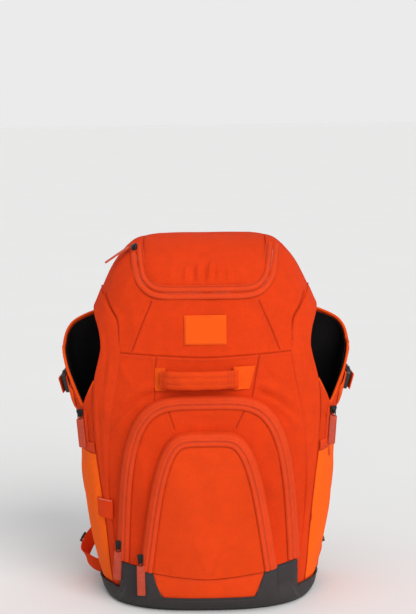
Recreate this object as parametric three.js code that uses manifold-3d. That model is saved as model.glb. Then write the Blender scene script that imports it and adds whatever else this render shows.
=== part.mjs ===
// Baseball bat backpack: a domed main compartment with a bat sleeve down each side,
// two stacked arched front pockets, a coated base and padded straps behind.
// Millimetres, +Z up, front towards -Y, standing on z = 0.
import * as THREE from 'three';
import { mergeVertices } from 'three/addons/utils/BufferGeometryUtils.js';
import Module from 'manifold-3d';

const wasm = await Module();
wasm.setup();

// Overall sizes
const bagHeight = 505;
const halfWidth = 184;
const frontReach = 92;
const backReach = 97;
const widestY = 30;
const crestY = 45;
const frontRound = 2.4;
const backRound = 6;

// Fabric and clearances
const wall = 2.4;
const gap = 0.3;
const layGap = 0.7;
const pouchGap = 0.9;
const seamGap = 1.6;
const tape = 1.6;

// Main compartment and sleeves
const seamHalf = 138;
const edgeHalf = 158;
const coreHalf = 108;
const mouthFlare = 28;
const mouthTop = 394;
const flareStart = 243;

// Base
const baseWall = 2.4;
const baseSlack = 1.4;
const baseSideRim = 21;
const baseFoot = 9;
const baseSideStep = 4;
const baseCornerRim = 64;
const plateTop = 48;
const notchHalfTop = 76;
const notchHalfBottom = 62;
const plateBottom = 22;

// Front pockets: half width at the bottom, top height, depth, taper and roundness of the arch
const outerArch = { half: 127, top: 295, depth: 17, taper: 0.08, round: 4 };
const innerArch = { half: 94, top: 248, depth: 17, taper: 0.28, round: 4.5 };
const pocketEdgePower = 7;
const pocketSeat = 1.2;
const archZip = { width: 11, inset: 4 };

// Lid
const lidHalf = 86;
const lidBottom = 441;
const lidBandWidth = 17;
const lidBack = 78;
const lidCorner = 26;

// Handle, patch and small parts
const handleZ = 317;
const handle = { left: -61, right: 43, tall: 25, thick: 8, rise: 15 };
const anchor = { left: -69, right: 68, under: 6, tall: 30, thick: 1.8 };
const patch = { half: 28.5, z: 383, tall: 40, thick: 1.4 };
const sideTab = { left: -152, right: -132, bottom: 120, top: 146, thick: 1.4 };
const slider = { width: 9.5, length: 15, thick: 4.5 };
const pull = { width: 10.5, length: 41, thick: 2.4 };
const pullGap = 0.5;
const lidPull = { width: 11, length: 40, thick: 2.6, start: 8 };
const buckle = { width: 30, length: 36, thick: 9 };
const webbing = { width: 25, thick: 1.8 };
const compressionZ = 278;
const compressionRise = 80;
const strapSlack = 0.8;
const bandWidth = 15;
const pocketBandZ = 221;
const zipTop = 269;

// Back
const backPad = { half: 92, bottom: 50, top: 448, thick: 12 };
const strapPad = { width: 66, thick: 10 };
const strapWebWidth = 20;
const lock = { width: 24, tall: 15, thick: 4 };

const COLOURS = {
  orange: 0xd9451a,
  brightOrange: 0xe85412,
  charcoal: 0x302b2c,
  black: 0x141214,
  terracotta: 0xcd5a37,
  lining: 0x120f10,
};

// Outline of the bag, a row for each height.
// z: share of the bag height. front: share of the front reach. half: share of the half width.
// seam, edge: shares of the half widths of the front panel and of the gusset beside it.
// core: share of the compartment's half width between the sleeves.
// full: 0 where the sleeves flank the compartment, 1 where it takes the whole outline.
// back: share of the back reach.
const OUTLINE = [
  { z: 0.006, front: 0.86, half: 0.79, seam: 0.74, edge: 0.79, core: 0.82, full: 0, back: 0.9 },
  { z: 0.02, front: 0.93, half: 0.81, seam: 0.81, edge: 0.82, core: 0.87, full: 0, back: 0.95 },
  { z: 0.04, front: 0.98, half: 0.825, seam: 0.87, edge: 0.84, core: 0.92, full: 0, back: 0.98 },
  { z: 0.085, front: 1, half: 0.858, seam: 0.9, edge: 0.86, core: 0.95, full: 0, back: 1 },
  { z: 0.164, front: 1, half: 0.9, seam: 0.94, edge: 0.88, core: 0.98, full: 0, back: 1 },
  { z: 0.244, front: 0.99, half: 0.932, seam: 0.975, edge: 0.905, core: 1, full: 0, back: 1 },
  { z: 0.333, front: 0.98, half: 0.958, seam: 1, edge: 0.94, core: 1, full: 0, back: 1 },
  { z: 0.432, front: 0.97, half: 0.98, seam: 0.99, edge: 0.98, core: 1, full: 0, back: 1 },
  { z: 0.541, front: 0.955, half: 1, seam: 0.95, edge: 1, core: 1, full: 0, back: 1 },
  { z: 0.61, front: 0.945, half: 0.985, seam: 0.9, edge: 0.985, core: 1, full: 0, back: 1 },
  { z: 0.699, front: 0.92, half: 0.96, seam: 0.85, edge: 0.92, core: 1, full: 0, back: 1 },
  { z: 0.743, front: 0.905, half: 0.935, seam: 0.855, edge: 0.92, core: 1.02, full: 0.15, back: 1 },
  { z: 0.78, front: 0.89, half: 0.89, seam: 0.87, edge: 0.93, core: 1.04, full: 0.6, back: 1 },
  { z: 0.812, front: 0.87, half: 0.84, seam: 0.88, edge: 0.93, core: 1.05, full: 1, back: 1 },
  { z: 0.846, front: 0.84, half: 0.8, seam: 0.9, edge: 0.92, core: 1, full: 1, back: 1 },
  { z: 0.883, front: 0.77, half: 0.755, seam: 0.9, edge: 0.9, core: 1, full: 1, back: 1 },
  { z: 0.921, front: 0.64, half: 0.7, seam: 0.9, edge: 0.95, core: 1, full: 1, back: 0.99 },
  { z: 0.95, front: 0.46, half: 0.64, seam: 0.8, edge: 0.9, core: 1, full: 1, back: 0.98 },
  { z: 0.974, front: 0.22, half: 0.575, seam: 0.7, edge: 0.8, core: 1, full: 1, back: 0.95 },
  { z: 0.989, front: -0.04, half: 0.5, seam: 0.6, edge: 0.7, core: 0.9, full: 1, back: 0.88 },
  { z: 0.997, front: -0.26, half: 0.36, seam: 0.4, edge: 0.5, core: 0.6, full: 1, back: 0.76 },
];

// Height of a sleeve's rim, a row for each share u of the way round it from front to back,
// as a share of the height of the mouth's top
const RIM = [
  { u: 0, z: 0.78 },
  { u: 0.07, z: 0.726 },
  { u: 0.14, z: 0.687 },
  { u: 0.22, z: 0.72 },
  { u: 0.33, z: 0.794 },
  { u: 0.45, z: 0.882 },
  { u: 0.6, z: 0.942 },
  { u: 0.8, z: 0.98 },
  { u: 1, z: 1 },
];

// Small maths
const lerp = (a, b, k) => a + (b - a) * k;
const clamp01 = (k) => Math.min(1, Math.max(0, k));
const smooth = (k) => clamp01(k) ** 2 * (3 - 2 * clamp01(k));
const v3 = (x, y, z) => new THREE.Vector3(x, y, z);
const steps = (count) => Array.from({ length: count + 1 }, (_, i) => i / count);

// Value of a named column at a place between a table's rows, with smooth slopes
function column(table, key, name, at) {
  const last = table.length - 1;
  let i = 0;
  while (i < last - 1 && table[i + 1][key] < at) {
    i += 1;
  }
  const slope = (a, b) => (table[b][name] - table[a][name]) / (table[b][key] - table[a][key]);
  const width = table[i + 1][key] - table[i][key];
  const k = clamp01((at - table[i][key]) / width);
  const m0 = slope(Math.max(i - 1, 0), i + 1) * width;
  const m1 = slope(i, Math.min(i + 2, last)) * width;
  const h = 2 * k ** 3 - 3 * k ** 2 + 1;
  const bend = (k ** 3 - 2 * k ** 2 + k) * m0 + (k ** 3 - k ** 2) * m1;
  return h * table[i][name] + (1 - h) * table[i + 1][name] + bend;
}

// The named widths and depths of the bag at a height
function outlineAt(z) {
  const read = (name) => column(OUTLINE, 'z', name, z / bagHeight);
  const half = read('half') * halfWidth;
  const full = clamp01(read('full'));
  return {
    half,
    full,
    front: -read('front') * frontReach,
    back: read('back') * backReach,
    seam: read('seam') * seamHalf,
    edge: read('edge') * edgeHalf,
    core: read('core') * coreHalf,
    mid: lerp(widestY, crestY, smooth((z / bagHeight - 0.9) * 10)),
  };
}

// Depth of the bag's front skin at a place seen from the front
function frontY(x, z) {
  const o = outlineAt(z);
  const share = clamp01(Math.abs(x) / o.half);
  return o.mid + (o.front - o.mid) * (1 - share ** frontRound) ** (1 / frontRound);
}

// Half width of the skin at a depth
function sideX(y, z) {
  const o = outlineAt(z);
  const power = y < o.mid ? frontRound : backRound;
  const share = y < o.mid ? (y - o.mid) / (o.front - o.mid) : (y - o.mid) / (o.back - o.mid);
  return o.half * (1 - clamp01(share) ** power) ** (1 / power);
}

// Half section of the main compartment, from the front centre to the back centre
const SHELL_FRONT = [0, 0.22, 0.44, 0.64, 0.82, 0.94, 1];
const SHELL_SIDE = [
  { depth: 0.07, waist: 0.45 },
  { depth: 0.22, waist: 1 },
  { depth: 0.5, waist: 1 },
  { depth: 0.7, waist: 1 },
  { depth: 0.86, waist: 1.02 },
  { depth: 0.96, waist: 1.08 },
];
const SHELL_BACK = [0.75, 0.4];

function shellCorner(z) {
  const o = outlineAt(z);
  return lerp(o.seam, o.half * 0.86, o.full);
}

function shellHalf(z) {
  const o = outlineAt(z);
  const corner = shellCorner(z);
  const points = SHELL_FRONT.map((share) => [corner * share, frontY(corner * share, z)]);
  const startY = frontY(corner, z);
  SHELL_SIDE.forEach(({ depth, waist }) => {
    const y = lerp(startY, o.back, depth);
    const narrow = lerp(corner, o.core, Math.min(waist, 2 - waist));
    points.push([lerp(waist > 1 ? o.core * (2 - waist) : narrow, sideX(y, z), o.full), y]);
  });
  const last = points[points.length - 1][0];
  SHELL_BACK.forEach((share) => points.push([last * share, o.back]));
  points.push([0, o.back]);
  return points;
}

// Geometry from rings of points; closes the ends with a point or a pole
class Builder {
  constructor() {
    this.points = [];
    this.faces = [];
  }

  add(point) {
    this.points.push(point);
    return this.points.length - 1;
  }

  row(points) {
    return points.map((p) => this.add(p));
  }

  strip(a, b, closed) {
    const count = closed ? a.length : a.length - 1;
    for (let i = 0; i < count; i += 1) {
      const j = (i + 1) % a.length;
      this.faces.push([a[i], a[j], b[j]], [a[i], b[j], b[i]]);
    }
  }

  fan(ring, pole, flip) {
    for (let i = 0; i < ring.length; i += 1) {
      const j = (i + 1) % ring.length;
      this.faces.push(flip ? [ring[j], ring[i], pole] : [ring[i], ring[j], pole]);
    }
  }

  geometry() {
    const volume = this.faces.reduce((sum, [a, b, c]) => {
      const [p, q, r] = [this.points[a], this.points[b], this.points[c]];
      return sum + p.dot(q.clone().cross(r));
    }, 0);
    const order = volume < 0 ? ([a, b, c]) => [a, c, b] : (face) => face;
    const out = new THREE.BufferGeometry();
    const flat = this.points.flatMap((p) => [p.x, p.y, p.z]);
    out.setAttribute('position', new THREE.Float32BufferAttribute(flat, 3));
    out.setIndex(this.faces.flatMap(order));
    return out;
  }
}

// Closed solid through stacked rings, with a pole at each end
function loft(rings, bottom, top) {
  const b = new Builder();
  const rows = rings.map((ring) => b.row(ring));
  for (let i = 0; i < rows.length - 1; i += 1) {
    b.strip(rows[i], rows[i + 1], true);
  }
  b.fan(rows[0], b.add(bottom), true);
  b.fan(rows[rows.length - 1], b.add(top), false);
  return b.geometry();
}

// Outward normal of a surface(u, v) that goes round the bag's middle line
function normalAt(surface, u, v) {
  const e = 0.002;
  const du = surface(u + e, v).sub(surface(u - e, v));
  const dv = surface(u, v + e).sub(surface(u, v - e));
  const normal = du.cross(dv).normalize();
  const p = surface(u, v);
  const away = v3(p.x, p.y - widestY, 0);
  return normal.dot(away) < 0 ? normal.negate() : normal;
}

const offset = (surface, u, v, out) =>
  surface(u, v).addScaledVector(normalAt(surface, u, v), out);

// Sheet of fabric between two offsets of a surface(u, v)
function sheet(surface, us, vs, low, high) {
  const b = new Builder();
  const side = (out) => vs.map((v) => b.row(us.map((u) => offset(surface, u, v, out))));
  const outer = side(high);
  const inner = side(low);
  const last = vs.length - 1;
  for (let i = 0; i < last; i += 1) {
    b.strip(outer[i], outer[i + 1], false);
    b.strip(inner[i + 1], inner[i], false);
  }
  const edge = (rows) => [
    ...rows[0],
    ...rows.slice(1).map((r) => r[r.length - 1]),
    ...rows[last].slice(0, -1).reverse(),
    ...rows.slice(1, -1).map((r) => r[0]).reverse(),
  ];
  b.strip(edge(inner), edge(outer), true);
  return b.geometry();
}

// Bar of a given cross section swept along a path; across gives the width direction at each point
function sweep(path, section, across) {
  const b = new Builder();
  const rows = path.map((p, i) => {
    const before = path[Math.max(i - 1, 0)];
    const after = path[Math.min(i + 1, path.length - 1)];
    const along = after.clone().sub(before).normalize();
    const wide = across(i / (path.length - 1)).clone();
    wide.addScaledVector(along, -wide.dot(along)).normalize();
    const deep = along.clone().cross(wide);
    return b.row(section(i / (path.length - 1)).map(([s, t]) =>
      p.clone().addScaledVector(wide, s).addScaledVector(deep, t)));
  });
  for (let i = 0; i < rows.length - 1; i += 1) {
    b.strip(rows[i], rows[i + 1], true);
  }
  b.fan(rows[0], b.add(centre(rows[0].map((k) => b.points[k]))), true);
  b.fan(rows[rows.length - 1], b.add(centre(rows[rows.length - 1].map((k) => b.points[k]))), false);
  return b.geometry();
}

function centre(points) {
  const sum = v3(0, 0, 0);
  points.forEach((p) => sum.add(p));
  return sum.divideScalar(points.length);
}

const flatSection = (width, thick) => () => [
  [-width / 2, -thick / 2],
  [width / 2, -thick / 2],
  [width / 2, thick / 2],
  [-width / 2, thick / 2],
];

const padEnd = 0.55;
const padSection = (width, thick) => (k) => {
  const end = Math.min(1, padEnd + 3.2 * Math.min(k, 1 - k));
  return [
    [-0.5, 0], [-0.42, -0.38], [-0.2, -0.5], [0.2, -0.5], [0.42, -0.38],
    [0.5, 0], [0.42, 0.38], [0.2, 0.5], [-0.2, 0.5], [-0.42, 0.38],
  ].map(([s, t]) => [s * width * Math.sqrt(end), t * thick * end]);
};

function solidOf(geometry) {
  const bare = geometry.clone();
  bare.deleteAttribute('normal');
  bare.deleteAttribute('uv');
  const merged = mergeVertices(bare, 1e-3);
  return new wasm.Manifold(new wasm.Mesh({
    numProp: 3,
    vertProperties: new Float32Array(merged.attributes.position.array),
    triVerts: new Uint32Array(merged.index.array),
  }));
}

function geometryOf(solid) {
  const mesh = solid.getMesh();
  const out = new THREE.BufferGeometry();
  out.setAttribute('position', new THREE.BufferAttribute(new Float32Array(mesh.vertProperties), 3));
  out.setIndex(new THREE.BufferAttribute(new Uint32Array(mesh.triVerts), 1));
  return out;
}

const group = new THREE.Group();

function piece(name, geometry, colour, roughness = 0.85, metalness = 0) {
  const mesh = new THREE.Mesh(geometry, new THREE.MeshStandardMaterial({
    color: COLOURS[colour],
    roughness,
    metalness,
  }));
  mesh.name = name;
  group.add(mesh);
  return mesh;
}

// Main compartment: a hollow loft, cut open along the lid
const SHELL_HEIGHTS = OUTLINE.map((row) => row.z * bagHeight);

function shellSolid(inset) {
  const rings = SHELL_HEIGHTS.map((z, i) => {
    const half = shellHalf(z);
    const mirrored = half.slice(1, -1).reverse().map(([x, y]) => [-x, y]);
    const ring = [...half, ...mirrored];
    const lift = i === 0 ? inset : 0;
    const top = bagHeight - inset;
    return ring.map(([x, y]) => {
      const reach = Math.hypot(x, y - crestY) || 1;
      const pull = Math.min(inset / reach, 0.9);
      return v3(x * (1 - pull), lerp(y, crestY, pull), Math.min(z + lift, top - 0.2 * (1 - i / 30)));
    });
  });
  const floor = v3(0, crestY, SHELL_HEIGHTS[0] + inset);
  return loft(rings, floor, v3(0, crestY, bagHeight - inset));
}

// U outline of the lid seen from the front, grown by a margin
function lidPrism(margin) {
  const shape = new THREE.Shape();
  const half = lidHalf + margin;
  const low = lidBottom - margin;
  const corner = lidCorner + margin;
  const top = bagHeight + 20;
  shape.moveTo(-half, top);
  shape.lineTo(-half, low + corner);
  shape.absarc(-half + corner, low + corner, corner, Math.PI, Math.PI * 1.5, false);
  shape.lineTo(half - corner, low);
  shape.absarc(half - corner, low + corner, corner, Math.PI * 1.5, Math.PI * 2, false);
  shape.lineTo(half, top);
  const depth = frontReach + 60 + lidBack + margin;
  const solid = new THREE.ExtrudeGeometry(shape, { depth, bevelEnabled: false, curveSegments: 4 });
  solid.rotateX(Math.PI / 2);
  solid.translate(0, lidBack + margin, 0);
  return solidOf(solid);
}

const shellWall = solidOf(shellSolid(0)).subtract(solidOf(shellSolid(wall)));
piece('main_shell', geometryOf(shellWall.subtract(lidPrism(gap))), 'orange');
piece('lid_panel', geometryOf(shellWall.intersect(lidPrism(0))), 'orange');

// Zip band round the lid: w runs across the band, t along the U
const LID_PATH = [
  { t: 0, x: -1.02, z: 0.977 },
  { t: 0.08, x: -1, z: 0.96 },
  { t: 0.17, x: -0.97, z: 0.931 },
  { t: 0.24, x: -0.92, z: 0.899 },
  { t: 0.29, x: -0.8, z: 0.879 },
  { t: 0.34, x: -0.62, z: 0.873 },
  { t: 0.42, x: -0.3, z: 0.873 },
  { t: 0.5, x: 0, z: 0.873 },
];

function lidEdge(t) {
  const at = t > 0.5 ? 1 - t : t;
  const x = column(LID_PATH, 't', 'x', at) * lidHalf;
  const z = column(LID_PATH, 't', 'z', at) * bagHeight;
  return new THREE.Vector2(t > 0.5 ? -x : x, z);
}

function lidBandSurface(t, w) {
  const e = 0.01;
  const from = lidEdge(clamp01(t - e));
  const to = lidEdge(clamp01(t + e));
  const along = to.sub(from).normalize();
  const p = lidEdge(clamp01(t));
  const x = p.x + along.y * w * lidBandWidth;
  const z = p.y - along.x * w * lidBandWidth;
  return v3(x, frontY(x, z), z);
}

const lidTs = [0.01, 0.06, 0.12, 0.17, 0.21, 0.25, 0.28, 0.31, 0.35, 0.4, 0.45, 0.5];
const lidLoop = [...lidTs, ...lidTs.slice(0, -1).reverse().map((t) => 1 - t)];
piece('lid_zip_band', sheet(lidBandSurface, lidLoop, [0.1, 0.5, 1], layGap, layGap + tape), 'orange');

// Front pockets: arches laid on the front, each a pillow that dies into what carries it
function archFoot(x) {
  return lerp(plateTop, baseCornerRim, clamp01(Math.abs(x) / outerArch.half) ** 1.4);
}

function archPoint(arch, share, angle) {
  const sign = Math.cos(angle) < 0 ? -1 : 1;
  const rise = share * Math.abs(Math.sin(angle)) ** (2 / arch.round);
  const wide = share * Math.abs(Math.cos(angle)) ** (2 / arch.round);
  const x = sign * wide * arch.half * (1 - arch.taper * rise);
  return [x, lerp(archFoot(x), arch.top, rise)];
}

function archShare(arch, x, z) {
  const rise = Math.max(0, (z - archFoot(x)) / (arch.top - archFoot(x)));
  const wide = Math.abs(x) / (arch.half * (1 - arch.taper * Math.min(rise, 1)));
  return (rise ** arch.round + wide ** arch.round) ** (1 / arch.round);
}

const archRise = (share) => Math.sqrt(Math.max(0, 1 - clamp01(share) ** pocketEdgePower));

function outerPocketY(x, z) {
  return frontY(x, z) - layGap - outerArch.depth * archRise(archShare(outerArch, x, z));
}

function innerPocketY(x, z) {
  return outerPocketY(x, z) - layGap - innerArch.depth * archRise(archShare(innerArch, x, z));
}

const ARCH_SHARES = [1, 0.985, 0.95, 0.9, 0.82, 0.66, 0.42, 0.2];
const archAngles = steps(20).map((k) => Math.PI * k);

function pocketGeometry(arch, face, carrier) {
  const b = new Builder();
  const place = (share, angle, y) => {
    const [x, z] = archPoint(arch, share, angle);
    return v3(x, y(x, z), z + gap);
  };
  const thin = 0.9;
  const outer = (x, z) => Math.min(face(x, z), carrier(x, z) - pocketSeat - thin);
  const inner = (x, z) => Math.min(carrier(x, z) - pocketSeat, face(x, z) + wall);
  const fronts = ARCH_SHARES.map((s) => b.row(archAngles.map((a) => place(s, a, outer))));
  const backs = ARCH_SHARES.map((s) => b.row(archAngles.map((a) => place(s, a, inner))));
  const frontPole = b.add(place(0, 0, outer));
  const backPole = b.add(place(0, 0, inner));
  for (let i = 0; i < fronts.length - 1; i += 1) {
    b.strip(fronts[i], fronts[i + 1], false);
    b.strip(backs[i + 1], backs[i], false);
  }
  const last = fronts.length - 1;
  for (let i = 0; i < archAngles.length - 1; i += 1) {
    b.faces.push([fronts[last][i], fronts[last][i + 1], frontPole]);
    b.faces.push([backs[last][i + 1], backs[last][i], backPole]);
  }
  const end = archAngles.length - 1;
  const foot = (rows, pole) => [
    ...rows.map((r) => r[0]),
    pole,
    ...rows.map((r) => r[end]).reverse(),
  ];
  b.strip(backs[0], fronts[0], false);
  b.strip(foot(fronts, frontPole), foot(backs, backPole), false);
  return b.geometry();
}

piece('outer_pocket', pocketGeometry(outerArch, outerPocketY, frontY), 'orange');
piece('inner_pocket', pocketGeometry(innerArch, innerPocketY, outerPocketY), 'brightOrange');

// Zip band round an arch, laid on the pocket's own face
function archZipGeometry(arch, face) {
  const surface = (k, w) => {
    const share = 1 - (archZip.inset + w * archZip.width) / arch.half;
    const [x, z] = archPoint(arch, share, Math.PI * k);
    return v3(x, face(x, z), z);
  };
  return sheet(surface, steps(26).map((k) => lerp(0.001, 0.999, k)), [0, 0.5, 1], layGap, layGap + tape);
}

piece('outer_zip', archZipGeometry(outerArch, outerPocketY), 'terracotta');
piece('inner_zip', archZipGeometry(innerArch, innerPocketY), 'terracotta');

// Bat sleeves: u runs round the sleeve from the gusset to the back, v from the base to the rim
const sleeveFoot = SHELL_HEIGHTS[0] + 5;
const liningFoot = 34;
const rimAt = (u) => column(RIM, 'u', 'z', u) * mouthTop;
const frontShare = 0.45;

function sleeveAt(side, u, z) {
  const o = outlineAt(z);
  const edge = o.edge + gap;
  const end = Math.max(...shellHalf(z).slice(SHELL_FRONT.length + 1).map(([x]) => x)) + wall + gap;
  const bulge = smooth(u / 0.35) * lerp(1, 0.6, smooth((u - 0.6) / 0.4));
  const half = o.half + mouthFlare * bulge * smooth((z - flareStart) / (mouthTop - 25 - flareStart));
  if (u < frontShare) {
    const turn = Math.acos(clamp01(edge / o.half) ** (frontRound / 2)) * (1 - u / frontShare);
    const x = half * Math.cos(turn) ** (2 / frontRound);
    return v3(side * x, o.mid + (o.front - o.mid) * Math.sin(turn) ** (2 / frontRound), z);
  }
  const turn = Math.acos(clamp01(end / half) ** (backRound / 2)) * ((u - frontShare) / (1 - frontShare));
  const x = half * Math.cos(turn) ** (2 / backRound);
  return v3(side * x, o.mid + (o.back - o.mid) * Math.sin(turn) ** (2 / backRound), z);
}

const sleeveSurface = (side) => (u, v) => sleeveAt(side, u, lerp(sleeveFoot, rimAt(u), v));
const sleeveUs = [0, 0.07, 0.14, 0.22, 0.3, 0.38, 0.45, 0.55, 0.65, 0.75, 0.85, 0.93, 1];
const sleeveVs = [0, 0.02, 0.06, 0.14, 0.26, 0.4, 0.54, 0.66, 0.78, 0.89, 1];

// Gusset between the front panel and a sleeve
function gussetSurface(side) {
  return (k, z) => {
    const from = shellCorner(z) + seamGap;
    const to = Math.max(outlineAt(z).edge - 2 * gap, from + 1);
    const x = lerp(from, to, k);
    return v3(side * x, frontY(x, z), z);
  };
}

const gussetTop = 374;
const GUSSET_ROWS = [0, 0.015, 0.032, 0.06, 0.1, 0.17, 0.26, 0.36, 0.46, 0.56, 0.66, 0.76, 0.88, 1];
const gussetZs = GUSSET_ROWS.map((k) => lerp(sleeveFoot, gussetTop, k));

// Lining of a sleeve: down the inside of its skin and back along the compartment
const liningWall = 1.2;
const liningSlack = 0.6;
const liningUs = [0.03, ...sleeveUs.slice(2, -1)];
const liningDepths = [0.9, 0.7, 0.5, 0.34];

function liningRing(side, v, inset) {
  const skin = liningUs.map((u) => {
    const z = lerp(liningFoot, rimAt(u) - 3, v);
    return offset((a, b) => sleeveAt(side, a, b), u, z, -wall - gap - layGap - liningSlack - inset);
  });
  const z = lerp(liningFoot, gussetTop - 22, v);
  const o = outlineAt(z);
  const inner = liningDepths.map((depth) => {
    const y = lerp(frontY(shellCorner(z), z), o.back, depth);
    return v3(side * (o.core + layGap + gap + 3.5 + inset), y, z);
  });
  const corner = v3(side * (shellCorner(z) + 6 + inset), frontY(shellCorner(z), z) + 15 + inset, z);
  return [...skin, ...inner, corner];
}

function liningGeometry(side) {
  const b = new Builder();
  const vs = [0, 0.2, 0.4, 0.54, 0.66, 0.75, 0.84, 0.92, 1];
  const outer = vs.map((v) => b.row(liningRing(side, v, 0)));
  const inner = vs.map((v) => b.row(liningRing(side, v, liningWall)));
  const last = vs.length - 1;
  for (let i = 0; i < last; i += 1) {
    b.strip(outer[i], outer[i + 1], true);
    b.strip(inner[i + 1], inner[i], true);
  }
  b.strip(inner[0], outer[0], true);
  b.strip(outer[last], inner[last], true);
  return b.geometry();
}

// Places on a sleeve at real heights, for what is laid on it
const onSleeve = (side, top, foot) => (u, v) => sleeveAt(side, u, lerp(foot(u), top(u), v));
const hemTop = (u) => pocketBandZ + 10 * smooth(u / 0.6);
const hemFoot = (u) => hemTop(u) - bandWidth;
const zipU = { from: 0.11, to: 0.17 };
const pocketUs = [0.01, ...sleeveUs.slice(1, -2)];
const pocketVs = [0, 0.25, 0.5, 0.7, 0.84, 0.94, 1];
const pocketFoot = baseSideRim + 6;

[['left', -1], ['right', 1]].forEach(([name, side]) => {
  piece(`gusset_${name}`, sheet(gussetSurface(side), [0, 0.5, 1], gussetZs, -wall, 0), 'orange');
  piece(`sleeve_${name}`, sheet(sleeveSurface(side), sleeveUs, sleeveVs, -wall, 0), 'orange');
  piece(`sleeve_lining_${name}`, liningGeometry(side), 'lining');
  const zip = onSleeve(side, () => zipTop - 4, (u) => hemTop(u) + 2);
  const zipUs = [zipU.from, (zipU.from + zipU.to) / 2, zipU.to];
  piece(`sleeve_zip_${name}`, sheet(zip, zipUs, steps(3), layGap, layGap + tape), 'terracotta');
  const hem = onSleeve(side, hemTop, hemFoot);
  piece(`pocket_band_${name}`, sheet(hem, pocketUs, [0, 1], layGap, layGap + tape), 'terracotta');
  const cloth = onSleeve(side, (u) => hemFoot(u) - 2 * gap, () => pocketFoot);
  const clothSheet = sheet(cloth, pocketUs, pocketVs, pouchGap, pouchGap + tape);
  piece(`side_pocket_${name}`, clothSheet, 'brightOrange');
});

// Base: a coated tray, high at the front corners, with a notch for the plate
function baseFrontY(x, z) {
  const low = Math.max(z, SHELL_HEIGHTS[0]);
  const rise = (arch) => arch.depth * archRise(Math.abs(x) / arch.half) + layGap;
  const proud = Math.max(rise(outerArch) + rise(innerArch), baseWall + layGap);
  return frontY(x, low) - proud;
}

const baseXs = [0, 0.25, 0.49, 0.545, 0.6, 0.74, 0.86, 0.94, 0.985];
const baseTurns = [0.85, 0.6, 0.36, 0.15, 0, -0.15, -0.35, -0.6, -0.8];
const baseBackShares = [0.86, 0.4, 0];
const lowOutline = (z) => outlineAt(Math.max(z, SHELL_HEIGHTS[0]));

function baseRim(x) {
  const at = Math.abs(x);
  if (at < notchHalfTop - 1) {
    const slope = clamp01((at - notchHalfBottom) / (notchHalfTop - notchHalfBottom));
    return lerp(plateBottom, archFoot(at), slope) - gap;
  }
  return at < outerArch.half * 0.96 ? archFoot(at) - gap : baseSideRim;
}

// Half ring of the tray at each column: the point at a height, and the rim's height there
const baseColumns = [
  ...baseXs.map((share) => {
    const x = share * outerArch.half;
    return { rim: baseRim(x), at: (z) => [x, baseFrontY(x, z)] };
  }),
  ...baseTurns.map((turn) => ({
    rim: baseSideRim,
    at: (z) => {
      const o = lowOutline(z);
      const side = frontY(outerArch.half + baseSideStep, z);
      const y = turn < 0 ? lerp(o.mid, o.back, -turn) : lerp(o.mid, side, turn);
      const lift = 1 + (baseWall + baseSlack) / o.half;
      return [sideX(y, Math.max(z, SHELL_HEIGHTS[0])) * lift, y * lift];
    },
  })),
  ...baseBackShares.map((share) => ({
    rim: baseSideRim,
    at: (z) => [share * lowOutline(z).half, lowOutline(z).back + baseWall + layGap],
  })),
];

function baseRing(level, inset) {
  const half = baseColumns.map(({ rim, at }) => {
    const z = level.height ?? lerp(rim, baseFoot, level.down);
    const [x, y] = at(z);
    const reach = Math.hypot(x, y - widestY);
    const k = (1 - inset / reach) * level.share;
    return v3(x * k, widestY + (y - widestY) * k, z + (level.floor ? inset : 0));
  });
  const mirrored = half.slice(1, -1).reverse().map((p) => v3(-p.x, p.y, p.z));
  return [...half, ...mirrored];
}

const BASE_LEVELS = [
  { down: 0, share: 1 },
  { down: 0.5, share: 1 },
  { down: 1, share: 1 },
  { height: 4, share: 0.995 },
  { height: 1.2, share: 0.975 },
  { height: 0, share: 0.94, floor: true },
  { height: 0, share: 0.5, floor: true },
];

function baseGeometry() {
  const b = new Builder();
  const outer = BASE_LEVELS.map((level) => b.row(baseRing(level, 0)));
  const inner = BASE_LEVELS.map((level) => b.row(baseRing(level, baseWall)));
  const last = BASE_LEVELS.length - 1;
  for (let i = 0; i < last; i += 1) {
    b.strip(outer[i], outer[i + 1], true);
    b.strip(inner[i + 1], inner[i], true);
  }
  b.strip(inner[0], outer[0], true);
  b.fan(outer[last], b.add(v3(0, widestY, 0)), false);
  b.fan(inner[last], b.add(v3(0, widestY, baseWall)), true);
  return b.geometry();
}

piece('base_boot', baseGeometry(), 'charcoal', 0.6);

const plateSurface = (k, v) => {
  const x = k * (lerp(notchHalfBottom, notchHalfTop, v) - 1);
  const z = lerp(plateBottom, archFoot(x) - gap, v);
  return v3(x, baseFrontY(x, z), z);
};
const plateKs = [-1, -0.75, -0.5, -0.25, 0, 0.25, 0.5, 0.75, 1];
piece('base_plate', sheet(plateSurface, plateKs, [0.03, 0.5, 1], -baseWall, 0), 'orange');

// Patch and handle on the front panel
const frontSurface = (x, z) => v3(x, frontY(x, z), z);
const spread = (from, to, count) => steps(count).map((k) => lerp(from, to, k));

function frontSheet(left, right, low, high, bottom, top) {
  return sheet(frontSurface, spread(left, right, 3), spread(bottom, top, 2), low, high);
}

const patchFoot = patch.z - patch.tall / 2;
piece('label_patch', frontSheet(-patch.half, patch.half, layGap, layGap + patch.thick,
  patchFoot, patchFoot + patch.tall), 'brightOrange');
const ANCHORS = [
  { name: 'left', from: anchor.left, to: handle.left + anchor.under },
  { name: 'right', from: handle.right - anchor.under, to: anchor.right },
];
ANCHORS.forEach(({ name, from, to }) => {
  piece(`handle_anchor_${name}`, frontSheet(from, to, layGap, layGap + anchor.thick,
    handleZ - anchor.tall / 2, handleZ + anchor.tall / 2), 'brightOrange');
});

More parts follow.
